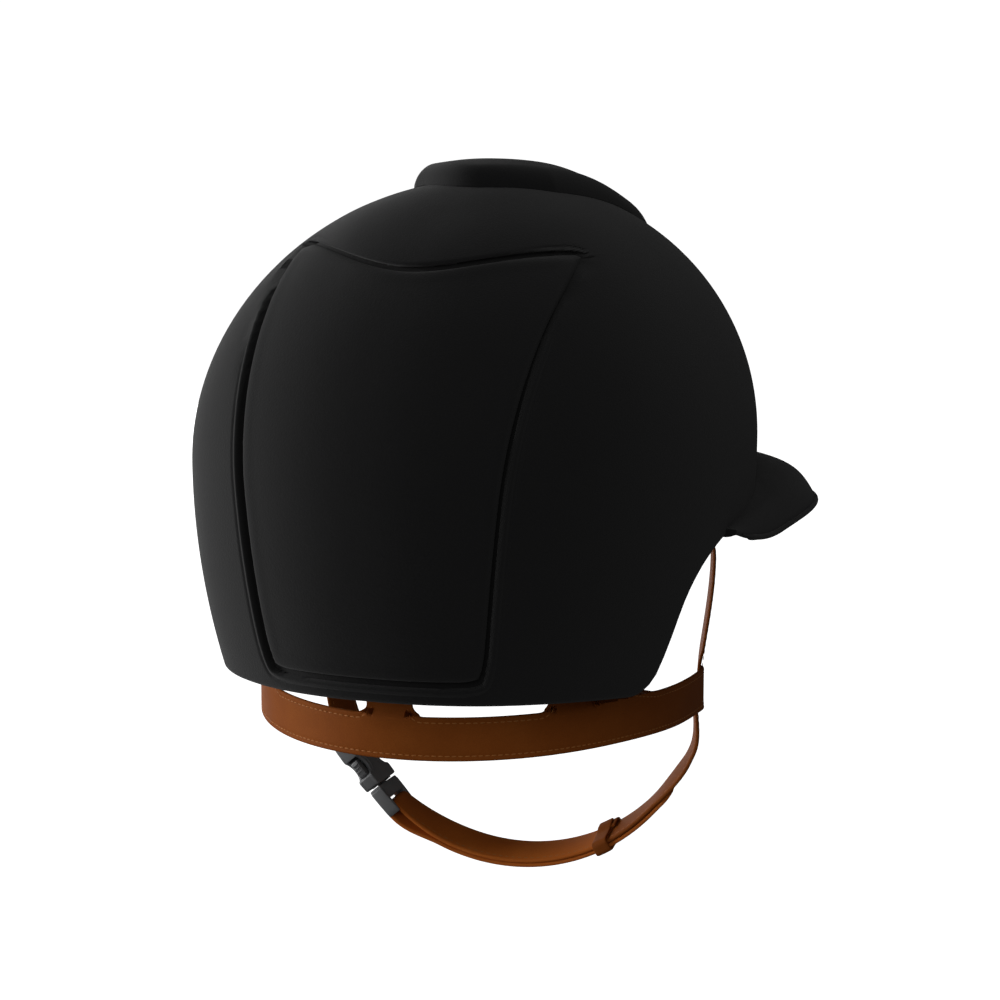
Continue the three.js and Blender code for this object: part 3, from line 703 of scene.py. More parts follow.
def outer_shell():
    z, turns, rims = shell_rows(REFERENCE, shell_turns, 0)
    outside = dome_point(turns, z, shell_relief(dome_point(turns, z, 0)))
    low_turns = turns[:, :1]
    rim_radius, rim_steps = 1.9, 6
    roll = np.concatenate([
        dome_point(low_turns, rims[:, None] + rim_radius * (1 - np.sin(a)), -rim_radius * (1 - np.cos(a)))
        for a in np.linspace(0, math.pi / 2, rim_steps)
    ], 1)
    inner_start = dome_point(low_turns, rims[:, None] + 0.4, -SHELL_THICKNESS + 0.3)
    coarse = np.append(REFERENCE[::3], REFERENCE[-1] - 0.05)
    z_in, turns_in, _ = shell_rows(coarse, shell_turns, 0)
    inside = dome_point(turns_in, np.minimum(z_in, CROWN - SHELL_THICKNESS), -SHELL_THICKNESS)
    loop = np.concatenate([outside[:, ::-1], roll, inner_start, inside], 1)
    shell = piece("shell_cover", loop, grid_faces(*loop.shape[:2], 0, True), SUEDE, "shell")
    paint_groove_shade(shell)
    return shell


shell = outer_shell()
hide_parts("outer_shell")


def rear_panel():
    t = np.linspace(-1, 1, 66)
    graded = np.sign(t) * (1 - (1 - np.abs(t)) ** 1.7)
    u, v = np.meshgrid(graded, graded, indexing="ij")
    inset = GROOVE_HALF
    border = outline_of(lambda a, b: panel_grid(a, b, inset, 0))
    flat = panel_grid(u, v, inset, 0)
    edge = distance_to(flat, border)
    edge[[0, -1]] = 0
    edge[:, [0, -1]] = 0
    across = np.abs(flat[..., 0]) / panel_half_width(flat[..., 2])
    sink = 1.3 * smooth(flat[..., 2], 150, 180) * (1 - smooth(across, 0.45, 0.92))
    height = -2.1 + (2.0 - sink) * rounded(edge, LIP_RADIUS) + 0.25 * np.exp(-((edge - 3.0) / 2.4) ** 2)
    top = panel_grid(u, v, inset, height)
    under = panel_grid(u, v, inset, -2.5)
    panel = piece("rear_panel_cover", *slab(top, under), SUEDE, "shell")
    return panel


panel = rear_panel()
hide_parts("rear_panel")

# ---------- vent cowl ----------
COWL_RISE, COWL_WALL, COWL_ROOF = 8.0, 3.0, 2.6
COWL_SIDE_FALL = 3.4                      # how much lower the cowl is along its sides
COWL_FOOT, COWL_CORNER_RADIUS, COWL_REAR_RADIUS = 0.2, 4.6, 3.4
COWL_HALF_REAR, COWL_HALF_WIDE, COWL_HALF_FRONT = 31.4, 47, 38
COWL_REAR, COWL_CORNER, COWL_WIDE, COWL_FRONT = -9, 4.7, 36, 74


def cowl_half_width(lean):
    behind = COWL_HALF_REAR + (COWL_HALF_WIDE - COWL_HALF_REAR) * smooth(lean, COWL_CORNER - 12, COWL_WIDE)
    ahead = COWL_HALF_WIDE + (COWL_HALF_FRONT - COWL_HALF_WIDE) * smooth(lean, COWL_WIDE, COWL_FRONT)
    return np.where(lean < COWL_WIDE, behind, ahead)


def cowl_sheet(u, v, inset, offset):
    """u from -1 to 1 across, v from 0 at the rear to 1 at the mouth."""
    across = u * (1 - 0.1 * (1 - v) ** 22)
    rear = COWL_REAR + (COWL_CORNER - COWL_REAR) * across**2 + inset * 0.5
    lean = rear + (COWL_FRONT - rear) * v
    return crown_point(across * (cowl_half_width(lean) - inset), np.radians(lean), offset)


def vent_cowl():
    t = np.linspace(-1, 1, 61)
    graded_u = np.sign(t) * (1 - (1 - np.abs(t)) ** 1.6)
    graded_v = np.linspace(0, 1, 70) ** 1.5
    u, v = np.meshgrid(graded_u, graded_v, indexing="ij")

    fall = COWL_SIDE_FALL * smooth(v, 0.08, 0.4) * (1 - smooth(v, 0.75, 0.97)) * smooth(np.abs(u), 0.35, 1)

    def surface(inset, high, radius):
        flat = cowl_sheet(u, v, inset, 0)
        border = np.concatenate([flat[0], flat[-1], flat[:, 0]])
        fine = np.concatenate([np.linspace(a, b, 5)[:-1] for a, b in zip(border[:-1], border[1:])
                               if np.linalg.norm(a - b) < 20])
        edge = distance_to(flat, fine)
        edge[[0, -1]] = 0
        edge[:, 0] = 0
        share = rounded(edge, radius + COWL_REAR_RADIUS * (1 - smooth(v, 0.05, 0.3)))
        return cowl_sheet(u, v, inset, COWL_FOOT + (high - fall - COWL_FOOT) * share)

    top = surface(0, COWL_RISE, COWL_CORNER_RADIUS)
    under = surface(COWL_WALL, COWL_RISE - COWL_ROOF, 3.0)
    cowl = piece("vent_cowl_cover", *slab(top, under), SUEDE, "shell")
    return cowl


cowl = vent_cowl()
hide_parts("vent_cowl")


def vent_grille():
    """Fine bars across the cowl's mouth, with real openings between them."""
    half = COWL_HALF_FRONT - COWL_WALL - 0.4
    low, high = 0.5, COWL_RISE - COWL_ROOF - 0.4
    bar = 0.32
    parts = []
    lean = math.radians(COWL_FRONT - 1.3)
    for x in np.linspace(-half, half, 36):
        base, top = crown_point(np.full(2, x), np.full(2, lean), np.array([low, high]))
        ring = np.array([[bar, 0, 0], [0, -bar, 0], [-bar, 0, 0], [0, bar, 0]])
        parts.append(tube([base + ring, top + ring]))
    for offset in np.linspace(low, high, 4):
        xs = np.linspace(-half, half, 48)
        path = crown_point(xs, np.full(48, lean), np.full(48, offset))
        ring = np.array([[0, bar, 0], [0, 0, bar], [0, -bar, 0], [0, 0, -bar]])
        parts.append(tube(path[:, None] + ring[None]))
    grille = piece("vent_grille_bars", *merged(*parts), MESH, "mesh")
    return grille


grille = vent_grille()
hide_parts("vent_grille")

# ---------- visor ----------
VISOR_HALF, VISOR_WIDEST, VISOR_TIP, VISOR_POWER = 112, -58, -200, 3.2
VISOR_EDGE_FRONT, VISOR_EDGE_SIDE, VISOR_JOINT, VISOR_JOINT_Y, VISOR_ROOT = 52.5, 57.5, 68, 7, 88
VISOR_THICK, VISOR_LINING, VISOR_BEAD, VISOR_FLANGE = 3.2, 1.6, 1.4, 2.5
VISOR_ROUND = 0.72                        # up to this share of its turn the visor's edge is the round front
VISOR_BULGE = 6.0
VISOR_SINK = -1.2                         # the root goes a little into the shell, so that no gap shows
LINING_START = 3.6


def visor_edge(turn, side, inset=0.0):
    power = 2 / VISOR_POWER
    angle = np.minimum(turn / VISOR_ROUND, 1) * math.pi / 2
    x = (VISOR_HALF - inset) * np.sin(angle) ** power
    y = VISOR_WIDEST + (VISOR_TIP + inset - VISOR_WIDEST) * np.cos(angle) ** power
    z = VISOR_EDGE_FRONT + (VISOR_EDGE_SIDE - VISOR_EDGE_FRONT) * (1 - np.cos(angle))
    back = np.clip((turn - VISOR_ROUND) / (1 - VISOR_ROUND), 0, 1)
    ear = dome_point(math.pi / 2, VISOR_JOINT, 4)[0]
    past = turn > VISOR_ROUND
    x = np.where(past, VISOR_HALF - inset + (ear - VISOR_HALF) * back**2, x)
    y = np.where(past, VISOR_WIDEST + (VISOR_JOINT_Y - VISOR_WIDEST) * back, y)
    z = np.where(past, VISOR_EDGE_SIDE + (VISOR_JOINT - VISOR_EDGE_SIDE) * back**2, z)
    return stack(side * x, y, z)


def root_height(turn):
    return VISOR_JOINT + 1.5 + (VISOR_ROOT - 2 - VISOR_JOINT) * (1 - turn**3)


def root_turn(turn, side):
    return math.pi - side * math.radians(93) * turn


def visor_sheet(u, v, drop, inset, start=0.0, span=1.0):
    turn = np.abs(2 * u - 1) * span
    side = np.where(u < 0.5, -1.0, 1.0)
    root = dome_point(root_turn(turn, side), root_height(turn), VISOR_SINK)
    edge = visor_edge(turn, side, inset)
    length = np.hypot(edge[..., 0] - root[..., 0], edge[..., 1] - root[..., 1])
    begin = np.minimum(start / length, 0.8)
    out = begin + (1 - begin) * v
    bulge = VISOR_BULGE * np.sin(math.pi * out**2.3) * (1 - turn**6)
    sheet = root + (edge - root) * out[..., None]
    sheet[..., 2] += bulge - drop
    return sheet


def visor_flange(u, v, offset):
    turn = np.abs(2 * u - 1) * 0.8
    side = np.where(u < 0.5, -1.0, 1.0)
    low = VISOR_JOINT + 4
    return dome_point(root_turn(turn, side), low + (root_height(turn) - 7 - low) * v, offset)


def visor_pieces():
    u, v = np.meshgrid(np.linspace(0, 1, 181), 1 - (1 - np.linspace(0, 1, 26)) ** 1.3, indexing="ij")
    fall = 0.9 * (1 - rounded((1 - v) * 70, 3.0)) - 0.9 * v
    thick = VISOR_THICK - 2.0 * v**2
    cover = slab(visor_sheet(u, v, fall, 0.2), visor_sheet(u, v, thick, 0.6))
    fu, fv = np.meshgrid(np.linspace(0, 1, 81), np.linspace(0, 1, 5), indexing="ij")
    flange = slab(visor_flange(fu, fv, 0.8 + VISOR_FLANGE), visor_flange(fu, fv, 0.8))
    visor = piece("visor_cover", *merged(cover, flange), SUEDE, "shell")
    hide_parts("visor")

    cloth = VISOR_LINING * (1 - 0.75 * v**3) * rounded(np.minimum(u, 1 - u) * 400, 8)
    lining = piece("visor_lining_cloth", *slab(
        visor_sheet(u, v, thick - 0.3, 2.6, LINING_START, 0.9),
        visor_sheet(u, v, thick + 0.1 + cloth, 2.8, LINING_START, 0.9),
    ), LINING, "lining")
    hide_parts("visor_lining")

    across = np.linspace(-0.97, 0.97, 161)
    path = visor_edge(np.abs(across), np.where(across < 0, -1.0, 1.0))
    path[:, 2] -= 0.1
    tangent = unit(np.gradient(path, axis=0))
    out = unit(np.cross(tangent, [0, 0, 1.0]))
    lift = 1.15 * np.cross(out, tangent)
    angles = np.linspace(0, 2 * math.pi, 14, endpoint=False)[:, None]
    radius = 0.72 * VISOR_BEAD * np.clip((1 - np.abs(np.linspace(-1, 1, 161))) * 12, 0.3, 1)
    rings = [
        path[i] + radius[i] * (np.cos(angles) * out[i] + np.sin(angles) * lift[i])
        for i in range(len(path))
    ]
    roll = piece("visor_edge_roll", *tube(rings), SUEDE, "shell")
    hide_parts("visor_edge_trim")


visor_pieces()

# ---------- foam liner ----------
def impact_liner():
    def turns_of(z):
        angle = np.linspace(0, 2 * math.pi, 720)
        wrapped_angle = np.degrees(wrapped(angle))
        weight = 1 + 6 * np.exp(-((wrapped_angle - 66) / 8) ** 2)
        share = np.interp(np.linspace(0, 1, 181)[:-1], np.cumsum(weight) / weight.sum(), angle)
        return np.repeat(share[:, None], len(z), 1)

    reference = np.concatenate([np.linspace(24, 150, 30), np.linspace(154, 196, 22)])

    def sheet(offset):
        z, turns, rims = shell_rows(reference, turns_of, offset, 7, -4)
        close = np.linspace(0, 1, 8)[1:] ** 0.5
        z_top = z[:, -1:] + (CROWN + offset - 0.01 - z[:, -1:]) * close[None]
        z = np.concatenate([z, z_top], 1)
        turns = np.concatenate([turns, np.repeat(turns[:, -1:], 7, 1)], 1)
        return dome_point(turns, np.minimum(z, CROWN + offset - 1e-3), offset), turns, rims

    outside, turns, rims = sheet(LINER_OUTER)
    plain = sheet(LINER_INNER)[0]
    x, y, height = plain[..., 0], plain[..., 1], plain[..., 2]
    channel = sum(np.exp(-(((x - at) / 7.0) ** 4)) for at in (-24, 0, 24))
    depth = 3.5 * channel * smooth(height, 120, 150) * (1 - smooth(np.abs(y), 70, 90))
    inside = plain + unit(plain - np.array([0, 0, 60.0])) * depth[..., None]
    width = LINER_OUTER - LINER_INNER
    roll = []
    for a in np.linspace(0, math.pi, 9):
        offset = LINER_OUTER - width * (1 - math.cos(a)) / 2
        z = rims[:, None] + 3.0 * (1 - math.sin(a))
        roll.append(dome_point(turns[:, :1], z, offset))
    roll = np.concatenate(roll, 1)
    loop = np.concatenate([outside[:, ::-1], roll, inside], 1)
    liner = piece("liner_foam", loop, grid_faces(*loop.shape[:2], 0, True), FOAM, "foam")
    return liner


liner = impact_liner()
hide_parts("impact_liner")

# ---------- comfort pads ----------
def pillow(u, v, quilts_u, quilts_v):
    """Crown of a stuffed pad over u and v from 0 to 1, pulled in at its quilting lines."""
    crown = (1 - np.abs(2 * u - 1) ** 6) ** 0.5 * (1 - np.abs(2 * v - 1) ** 6) ** 0.5
    seam = np.ones_like(u)
    for count, along in ((quilts_u, u), (quilts_v, v)):
        for k in range(1, count):
            seam = np.minimum(seam, 1 - np.exp(-((along - k / count) * 60 / count) ** 2))
    return crown * (0.45 + 0.55 * seam)


def comfort_pad(name, turns, heights, quilts_u, quilts_v):
    u, v = np.meshgrid(np.linspace(0, 1, 97), np.linspace(0, 1, 49), indexing="ij")
    corner = 0.06
    across = (2 * u - 1) * (1 - corner * np.abs(2 * v - 1) ** 8)
    up = (2 * v - 1) * (1 - corner * np.abs(2 * u - 1) ** 8)
    turn = np.radians((turns[0] + turns[1]) / 2 + (turns[1] - turns[0]) / 2 * across)
    z = (heights[0] + heights[1]) / 2 + (heights[1] - heights[0]) / 2 * up
    puff = pillow(u, v, quilts_u, quilts_v)
    middle = (PAD_OUTER + PAD_INNER) / 2
    front = dome_point(turn, z, middle - 3.4 * puff)
    back = dome_point(turn, z, middle + 1.6 * puff)
    obj = piece(f"{name}_cushion", *slab(front, back), LINING, "lining", sharp=80)
    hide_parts(name)


comfort_pad("nape_pad", (-52, 52), (11.5, 62), 5, 1)
comfort_pad("side_pad_left", (57, 128), (80, 128), 3, 1)
comfort_pad("side_pad_right", (-128, -57), (80, 128), 3, 1)
comfort_pad("brow_pad", (132, 228), (74, 118), 5, 1)


def crown_pad():
    reach = 62
    angle, share = np.meshgrid(np.linspace(0, 2 * math.pi, 97)[:-1], np.linspace(0.002, 1, 28), indexing="ij")
    puff = (1 - share**6) ** 0.5
    seam = 1 - 0.55 * np.exp(-((share - 0.52) * 18) ** 2)
    spoke = 1 - 0.35 * np.exp(-(np.sin(3 * angle) * 3.4) ** 2) * smooth(share, 0.5, 0.6)
    puff = puff * seam * spoke
    x = reach * 0.8 * share * np.sin(angle)
    lean = np.arctan2(reach * share * np.cos(angle), CROWN - COWL_CENTRE)
    middle = (PAD_OUTER + PAD_INNER) / 2
    obj = piece("crown_pad_cushion", *slab(
        crown_point(x, lean, middle - 3.2 * puff), crown_point(x, lean, middle + 1.8 * puff), True,
    ), LINING, "lining", sharp=80)
    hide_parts("crown_pad")


crown_pad()

# ---------- nape band ----------
BAND_HALF, BAND_REAR, BAND_FRONT, BAND_LOW, BAND_HIGH = 86.9, 107, -49.5, -10, 7.5
BAND_THICK, BAND_TAB_TOP = 1.8, 46
BAND_FRONT_SHARE = 0.22
STITCH_INSET = 2.2
BAND_PINCH = 1.4                          # the band's ends lie close on the temple straps
SIDE_RISE = 4.5                           # the band's edge is higher beside the side tabs


def band_plan(share, offset):
    side = np.where(share < 0, -1.0, 1.0)
    along = np.abs(share)
    bend = 1 - BAND_FRONT_SHARE
    angle = np.minimum(along / bend, 1) * math.pi / 2
    forward = np.clip((along - bend) / BAND_FRONT_SHARE, 0, 1)
    x = side * (BAND_HALF + offset) * np.sin(angle)
    y = np.where(along <= bend, (BAND_REAR + offset) * np.cos(angle), BAND_FRONT * forward)
    return x, y


TAB_FILLET, TAB_STEEPNESS, TAB_WALL = 4.5, 0.97, 3.0
CENTRE_TAB_HALF = 9.5
SIDE_TAB = (64.5, 88.0)                   # from and to, along the band from its middle


def band_run(share):
    """Distance along the band from its middle at the rear, in millimetres."""
    fine = np.linspace(0, 1, 800)
    x, y = band_plan(fine, 0)
    run = np.concatenate([[0], np.cumsum(np.hypot(np.diff(x), np.diff(y)))])
    return np.interp(np.abs(share), fine, run)


def tab_rise(distance, full):
    """Height of a tab's outline at a distance out from its upright side: a wall with a round foot."""
    foot = np.clip(distance, 0, TAB_FILLET)
    fillet = TAB_FILLET - np.sqrt(TAB_FILLET**2 - TAB_STEEPNESS * (TAB_FILLET - foot) ** 2)
    start = TAB_FILLET * (1 - math.sqrt(1 - TAB_STEEPNESS))
    wall = full + (start - full) * np.clip(1 + distance / TAB_WALL, 0, 1)
    return np.where(distance < 0, wall, fillet)


def band_edges(share):
    """Heights of the band's lower and upper edge."""
    along = np.abs(share)
    run = band_run(share)
    edge = BAND_HIGH + SIDE_RISE * smooth(along, 0.4, 0.46) * (1 - smooth(along, 0.5, 0.66))
    full = BAND_TAB_TOP - edge
    centre = tab_rise(run - CENTRE_TAB_HALF, full)
    side = np.minimum(tab_rise(SIDE_TAB[0] - run, full), tab_rise(run - SIDE_TAB[1], full))
    low = BAND_LOW + 3 * smooth(along, 0.97, 1)
    corner = np.clip((along - 0.955) / 0.045, 0, 1)
    return low, edge + np.maximum(centre, side) - 9 * (1 - np.sqrt(1 - corner**2))


def band_surface(share, z, offset):
    x, y = band_plan(share, offset)
    x = x - np.sign(x) * BAND_PINCH * smooth(-y, 5, 40)
    width, rear, _ = half_axes(z, LINER_INNER - 1.4 - BAND_THICK / 2 + offset)
    inside = (z >= 8) & (y >= 0)
    plan = (np.abs(x) / width) ** ROUNDNESS + (np.maximum(y, 0) / rear) ** ROUNDNESS
    flush = np.maximum(plan, 1e-6) ** (-1 / ROUNDNESS)
    reach = np.where(inside, np.minimum(1 + (flush - 1) * smooth(z, 20, 30), flush), 1)
    return stack(reach * x, reach * y, z)


def band_shares():
    """Columns along the band, close together where its upper edge turns up into a tab."""
    share = np.linspace(-1, 1, 1200)
    slope = np.abs(np.gradient(band_edges(share)[1], share))
    weight = 1 + np.minimum(slope, 4000) / 160
    return np.interp(np.linspace(0, 1, 420), np.cumsum(weight) / weight.sum(), share)


def band_edge_path(upper, inset, offset):
    """Path along the band at a distance in from its edge, and the outward normals."""
    share = np.linspace(-0.985, 0.985, 1600)
    x, y = band_plan(share, 0)
    run = np.concatenate([[0], np.cumsum(np.hypot(np.diff(x), np.diff(y)))])
    low, top = band_edges(share)
    z = top if upper else low
    slope = np.gradient(z, run)
    length = np.sqrt(1 + slope**2)
    way = -1 if upper else 1
    run_in = run - way * inset * slope / length
    z_in = z + way * inset / length
    back = np.interp(run_in, run, share)
    keep = z_in < np.where(z_in > 0, BAND_HIGH + 3.5, 30)
    back, z_in = back[keep], z_in[keep]
    path = band_surface(back, z_in, offset)
    outward = unit(band_surface(back, z_in, offset + 1) - path)
    return path, outward


def split_runs(path, outward, gap=6.0):
    """Cut a path wherever it jumps."""
    jumps = np.where(np.linalg.norm(np.diff(path, axis=0), axis=1) > gap)[0] + 1
    return [(a, b) for a, b in zip(np.split(path, jumps), np.split(outward, jumps)) if len(a) > 8]


def nape_band():
    share = band_shares()
    v = np.linspace(0, 1, 41)
    v = (1 - np.cos(v * math.pi)) / 2
    u, v = np.meshgrid(share, v, indexing="ij")
    low, top = band_edges(u)
    z = low + (top - low) * v
    edge = np.minimum(z - low, top - z)
    end = np.minimum(1 - np.abs(u), 1) * 225
    half = BAND_THICK / 2 * rounded(np.minimum(edge, end), 0.9)
    groove = 0.18 * np.exp(-((edge - STITCH_INSET) / 0.7) ** 2)
    outer = band_surface(u, z, half - groove)
    inner = band_surface(u, z, -half)
    band = piece("nape_band_leather", *slab(outer, inner), LEATHER, "leather", sharp=70)
    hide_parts("nape_band")
    rows = []
    for upper in (False, True):
        for path, outward in split_runs(*band_edge_path(upper, STITCH_INSET, BAND_THICK / 2 - 0.12)):
            rows.append(stitches(path, outward))
    piece("nape_band_stitching", *merged(*rows), THREAD, "leather")


nape_band()

# ---------- straps ----------
TEMPLE_X, TEMPLE_TOP, TEMPLE_THICK = 84.9, 92, 1.3
CHIN_RADIUS, TAIL_GAP, TAIL_END, SPLIT, KEEPER_AT = 83.0, 0.3, -56, -32, -30
FINE_SEWING = {"pitch": 2.8, "length": 1.9, "width": 0.5, "height": 0.34}


def strap_outline(width, thick, corner=0.6):
    outline = []
    for a, b, start in ((1, 1, 0), (-1, 1, 90), (-1, -1, 180), (1, -1, 270)):
        for step in (0, 30, 60, 90):
            angle = math.radians(start + step)
            outline.append((
                a * (width / 2 - corner) + corner * math.cos(angle),
                b * (thick / 2 - corner) + corner * math.sin(angle),
            ))
    return np.array(outline)


def strap_body(centres, faces_out, across, taper, thick=STRAP_THICK):
    """A strap through its centre points, with rounded edges. taper gives its width shares."""
    rings = []
    for centre, face, way, share in zip(centres, faces_out, across, taper):
        outline = strap_outline(STRAP_WIDTH * share, thick)
        rings.append(centre + outline[:, :1] * way + outline[:, 1:] * face)
    return tube(rings)


def rounded_tip(count):
    """Width shares along a strap whose last end is rounded."""
    share = np.ones(count)
    share[-6:] = np.sqrt(1 - (1 - np.linspace(1, 0.12, 6)) ** 2)
    return share


def temple_strap(name, side):
    low = JUNCTION_Z - 4
    z = np.concatenate([np.linspace(low, low + 3, 6)[:-1], np.linspace(low + 3, TEMPLE_TOP, 60)])
    y = JUNCTION_Y - 5 * smooth(z, 0, 60)
    hanging = TEMPLE_X + 1.6 * smooth(z, 0, 45)
    width, _, front = half_axes(z, LINER_INNER - 1.1 - STRAP_THICK / 2)
    inside = width * (1 - (np.abs(y) / front) ** ROUNDNESS) ** (1 / ROUNDNESS)
    x = side * (hanging + (inside - hanging) * smooth(z, 48, 72))
    # the strap widens backwards, in a curve, down to the band's upper edge
    flare = 0.4 * STRAP_WIDTH * (1 - smooth(z, 6, 18)) ** 2
    path = stack(x, y + flare / 2, z)
    along = unit(np.gradient(path, axis=0))
    across = np.tile([0.0, 1.0, 0.0], (len(z), 1))
    face = unit(np.cross(across, along))
    across = np.cross(along, face)
    taper = rounded_tip(len(z)) * (1 + flare / STRAP_WIDTH)
    strap = strap_body(path, face, across, taper, TEMPLE_THICK)
    obj = piece(f"temple_strap_{name}_leather", *strap, LEATHER, "leather", sharp=60)
    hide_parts(f"temple_strap_{name}")
    outward = face if face[0, 0] * side > 0 else -face
    sewn = slice(8, -4)
    rows = []
    for edge in (-1, 1):
        line = path + edge * across * (STRAP_WIDTH / 2 - 1.9) + outward * 0.62
        rows.append(stitches(line[sewn], outward[sewn], pitch=2.8, length=1.9))
    piece(f"temple_strap_{name}_stitching", *merged(*rows), THREAD, "leather")


temple_strap("left", 1)
temple_strap("right", -1)


def chin_point(beta, radius, y=JUNCTION_Y):
    return stack(radius * np.sin(np.radians(beta)), y, JUNCTION_Z - radius * np.cos(np.radians(beta)))


def chin_frame(beta):
    """Outward direction of the chin loop at an angle."""
    angle = np.radians(beta)
    return stack(np.sin(angle), 0.0, -np.cos(angle))


def chin_stitches(line, outward):
    return stitches(line, outward, **FINE_SEWING)


def metres(x, y, z):
    return (x * MM, y * MM, z * MM)


def chin_strap(node, side, last, columns):
    """One side of the chin loop, from its junction, as a strap that bends just under the junction."""
    name = f"{node}_leather"
    beta = np.linspace(90 * side, last, columns)
    path = chin_point(beta, CHIN_RADIUS)
    face = chin_frame(beta)
    across = np.tile([0.0, 1.0, 0.0], (columns, 1))
    strap = strap_body(path, face, across, np.ones(columns))
    obj = piece(name, *strap, LEATHER, "leather", body=None, sharp=60)
    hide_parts(node)
    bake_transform(obj)
    rows = []
    for edge in (-1, 1):
        for way in (-1, 1):
            line = path + across * edge * SEAM_AT + face * way * (STRAP_THICK / 2 - 0.05)
            rows.append(chin_stitches(line[2:-1], face[2:-1] * way))
    thread_obj = piece(f"{name}_stitching", *merged(*rows), THREAD, "leather", body=None)
    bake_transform(thread_obj)


BUCKLE_AT, BUCKLE_RADIUS, MALE_BAR = 48, 84.5, 13.8
FEMALE_BAR = 20.5
SEAM_AT = STRAP_WIDTH / 2 - 1.7           # from the strap's middle to either row of stitches


def along_angle(distance, radius):
    return math.degrees(math.asin(distance / radius))


chin_strap("chin_strap_short", 1, BUCKLE_AT + along_angle(FEMALE_BAR, CHIN_RADIUS), 40)
chin_strap("chin_strap_long", -1, SPLIT, 90)

TAIL_RADIUS = CHIN_RADIUS + STRAP_THICK + TAIL_GAP
TAIL_SPREAD = 3.2                         # how far the tail stands off where it leaves the buckle
MAIN_POINTS, FOLD_POINTS, TAIL_POINTS = 90, 12, 130


def adjusting_end():
    """In from the split, up to the buckle's male half, round its bar and back as the tail."""
    fold = BUCKLE_AT - along_angle(MALE_BAR - 0.4, CHIN_RADIUS)
    main = np.linspace(SPLIT + 0.3, fold, MAIN_POINTS)
    tail = np.linspace(fold, TAIL_END, TAIL_POINTS)
    fold_radius = (TAIL_RADIUS + TAIL_SPREAD - CHIN_RADIUS) / 2
    middle = CHIN_RADIUS + fold_radius
    turn = np.linspace(0, math.pi, FOLD_POINTS + 2)[1:-1]
    fold_beta = fold + np.degrees(fold_radius * np.sin(turn) / middle)
    beta = np.concatenate([main, fold_beta, tail])
    radius = np.concatenate([
        np.full(MAIN_POINTS, CHIN_RADIUS),
        middle - fold_radius * np.cos(turn),
        TAIL_RADIUS + TAIL_SPREAD * smooth(tail, fold - 17, fold - 2),
    ])
    angle = np.concatenate([np.zeros(MAIN_POINTS), turn, np.full(TAIL_POINTS, math.pi)])[:, None]
    path = chin_point(beta, radius)
    along = stack(np.cos(np.radians(beta)), 0.0, np.sin(np.radians(beta)))
    face = chin_frame(beta) * np.cos(angle) - along * np.sin(angle)
    across = np.tile([0.0, 1.0, 0.0], (len(beta), 1))
    ends = {
        "start": metres(*chin_point(np.array(-8.0), CHIN_RADIUS)),
        "end": metres(*chin_point(np.array(30.0), CHIN_RADIUS)),
    }
    strap = strap_body(path, face, across, rounded_tip(len(beta)))
    # painted light: the adjusting end wears the brighter copy of the leather
    obj = piece("chin_strap_adjuster_leather", *strap, PAINTED_LIGHT_STRAP_LEATHER, "leather", body=None, sharp=60)
    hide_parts("chin_strap_adjuster")
    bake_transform(obj)
    sewn_parts = (slice(0, MAIN_POINTS - 6), slice(MAIN_POINTS + FOLD_POINTS + 6, -8))
    rows = []
    for edge in (-1, 1):
        line = path - face * (STRAP_THICK / 2 - 0.05) + across * edge * SEAM_AT
        rows += [chin_stitches(line[sewn], -face[sewn]) for sewn in sewn_parts]
    thread_obj = piece("chin_strap_adjuster_stitching", *merged(*rows), THREAD, "leather", body=None)
    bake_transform(thread_obj)


adjusting_end()


def keeper():
    """A strip wrapped round both layers, its end lapped over its start on a slant."""
    low = CHIN_RADIUS - STRAP_THICK / 2 - 0.55
    high = TAIL_RADIUS + STRAP_THICK / 2 + 0.45
    half = STRAP_WIDTH / 2 + 0.5
    thick, width, lap = 0.9, 7.2, 0.14
    steps = 120
    corner = 0.9
    outline = []
    for a, b, start in ((high - corner, half - corner, 0), (low + corner, half - corner, 90),
                        (low + corner, corner - half, 180), (high - corner, corner - half, 270)):
        for step in np.linspace(0, 90, 8):
            angle = math.radians(start + step)
            outline.append((a, b, math.cos(angle), math.sin(angle)))
    outline = np.array(outline)
    outline = np.vstack([outline, outline[:1]])
    points = outline[:, :2] + corner * outline[:, 2:]
    run = np.concatenate([[0], np.cumsum(np.linalg.norm(np.diff(points, axis=0), axis=1))])
    shares = np.linspace(-lap / 2, 1 + lap / 2, steps)
    at = np.mod(shares, 1) * run[-1]
    # the lap lies on the loop's inner face, half a turn from the outline's start
    at = np.mod(at + run[-1] * 0.42, run[-1])
    place = np.stack([np.interp(at, run, points[:, k]) for k in range(2)], -1)
    normal = unit(np.stack([np.interp(at, run, outline[:, 2 + k]) for k in range(2)], -1))
    grow = thick / 2 + (thick + 0.05) * smooth(shares, 1 - lap / 2 - 0.05, 1 + lap / 2 - 0.06)
    rings = []
    for i in range(steps):
        slant = 1.9 * (shares[i] - 0.5)
        section = []
        for a in np.linspace(0, 2 * math.pi, 16, endpoint=False):
            w = width / 2 * signed_power(math.cos(a), 0.35)
            t = thick / 2 * signed_power(math.sin(a), 0.6)
            radial = place[i, 0] + normal[i, 0] * (grow[i] + t)
            across = place[i, 1] + normal[i, 1] * (grow[i] + t)
            beta = KEEPER_AT + math.degrees((w + slant) / CHIN_RADIUS)
            section.append(chin_point(beta, radial, JUNCTION_Y + across))
        rings.append(np.array(section))
    obj = piece("strap_keeper_leather", *tube(rings), LEATHER, "leather", body="keeper", sharp=60)
    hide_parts("strap_keeper")


keeper()

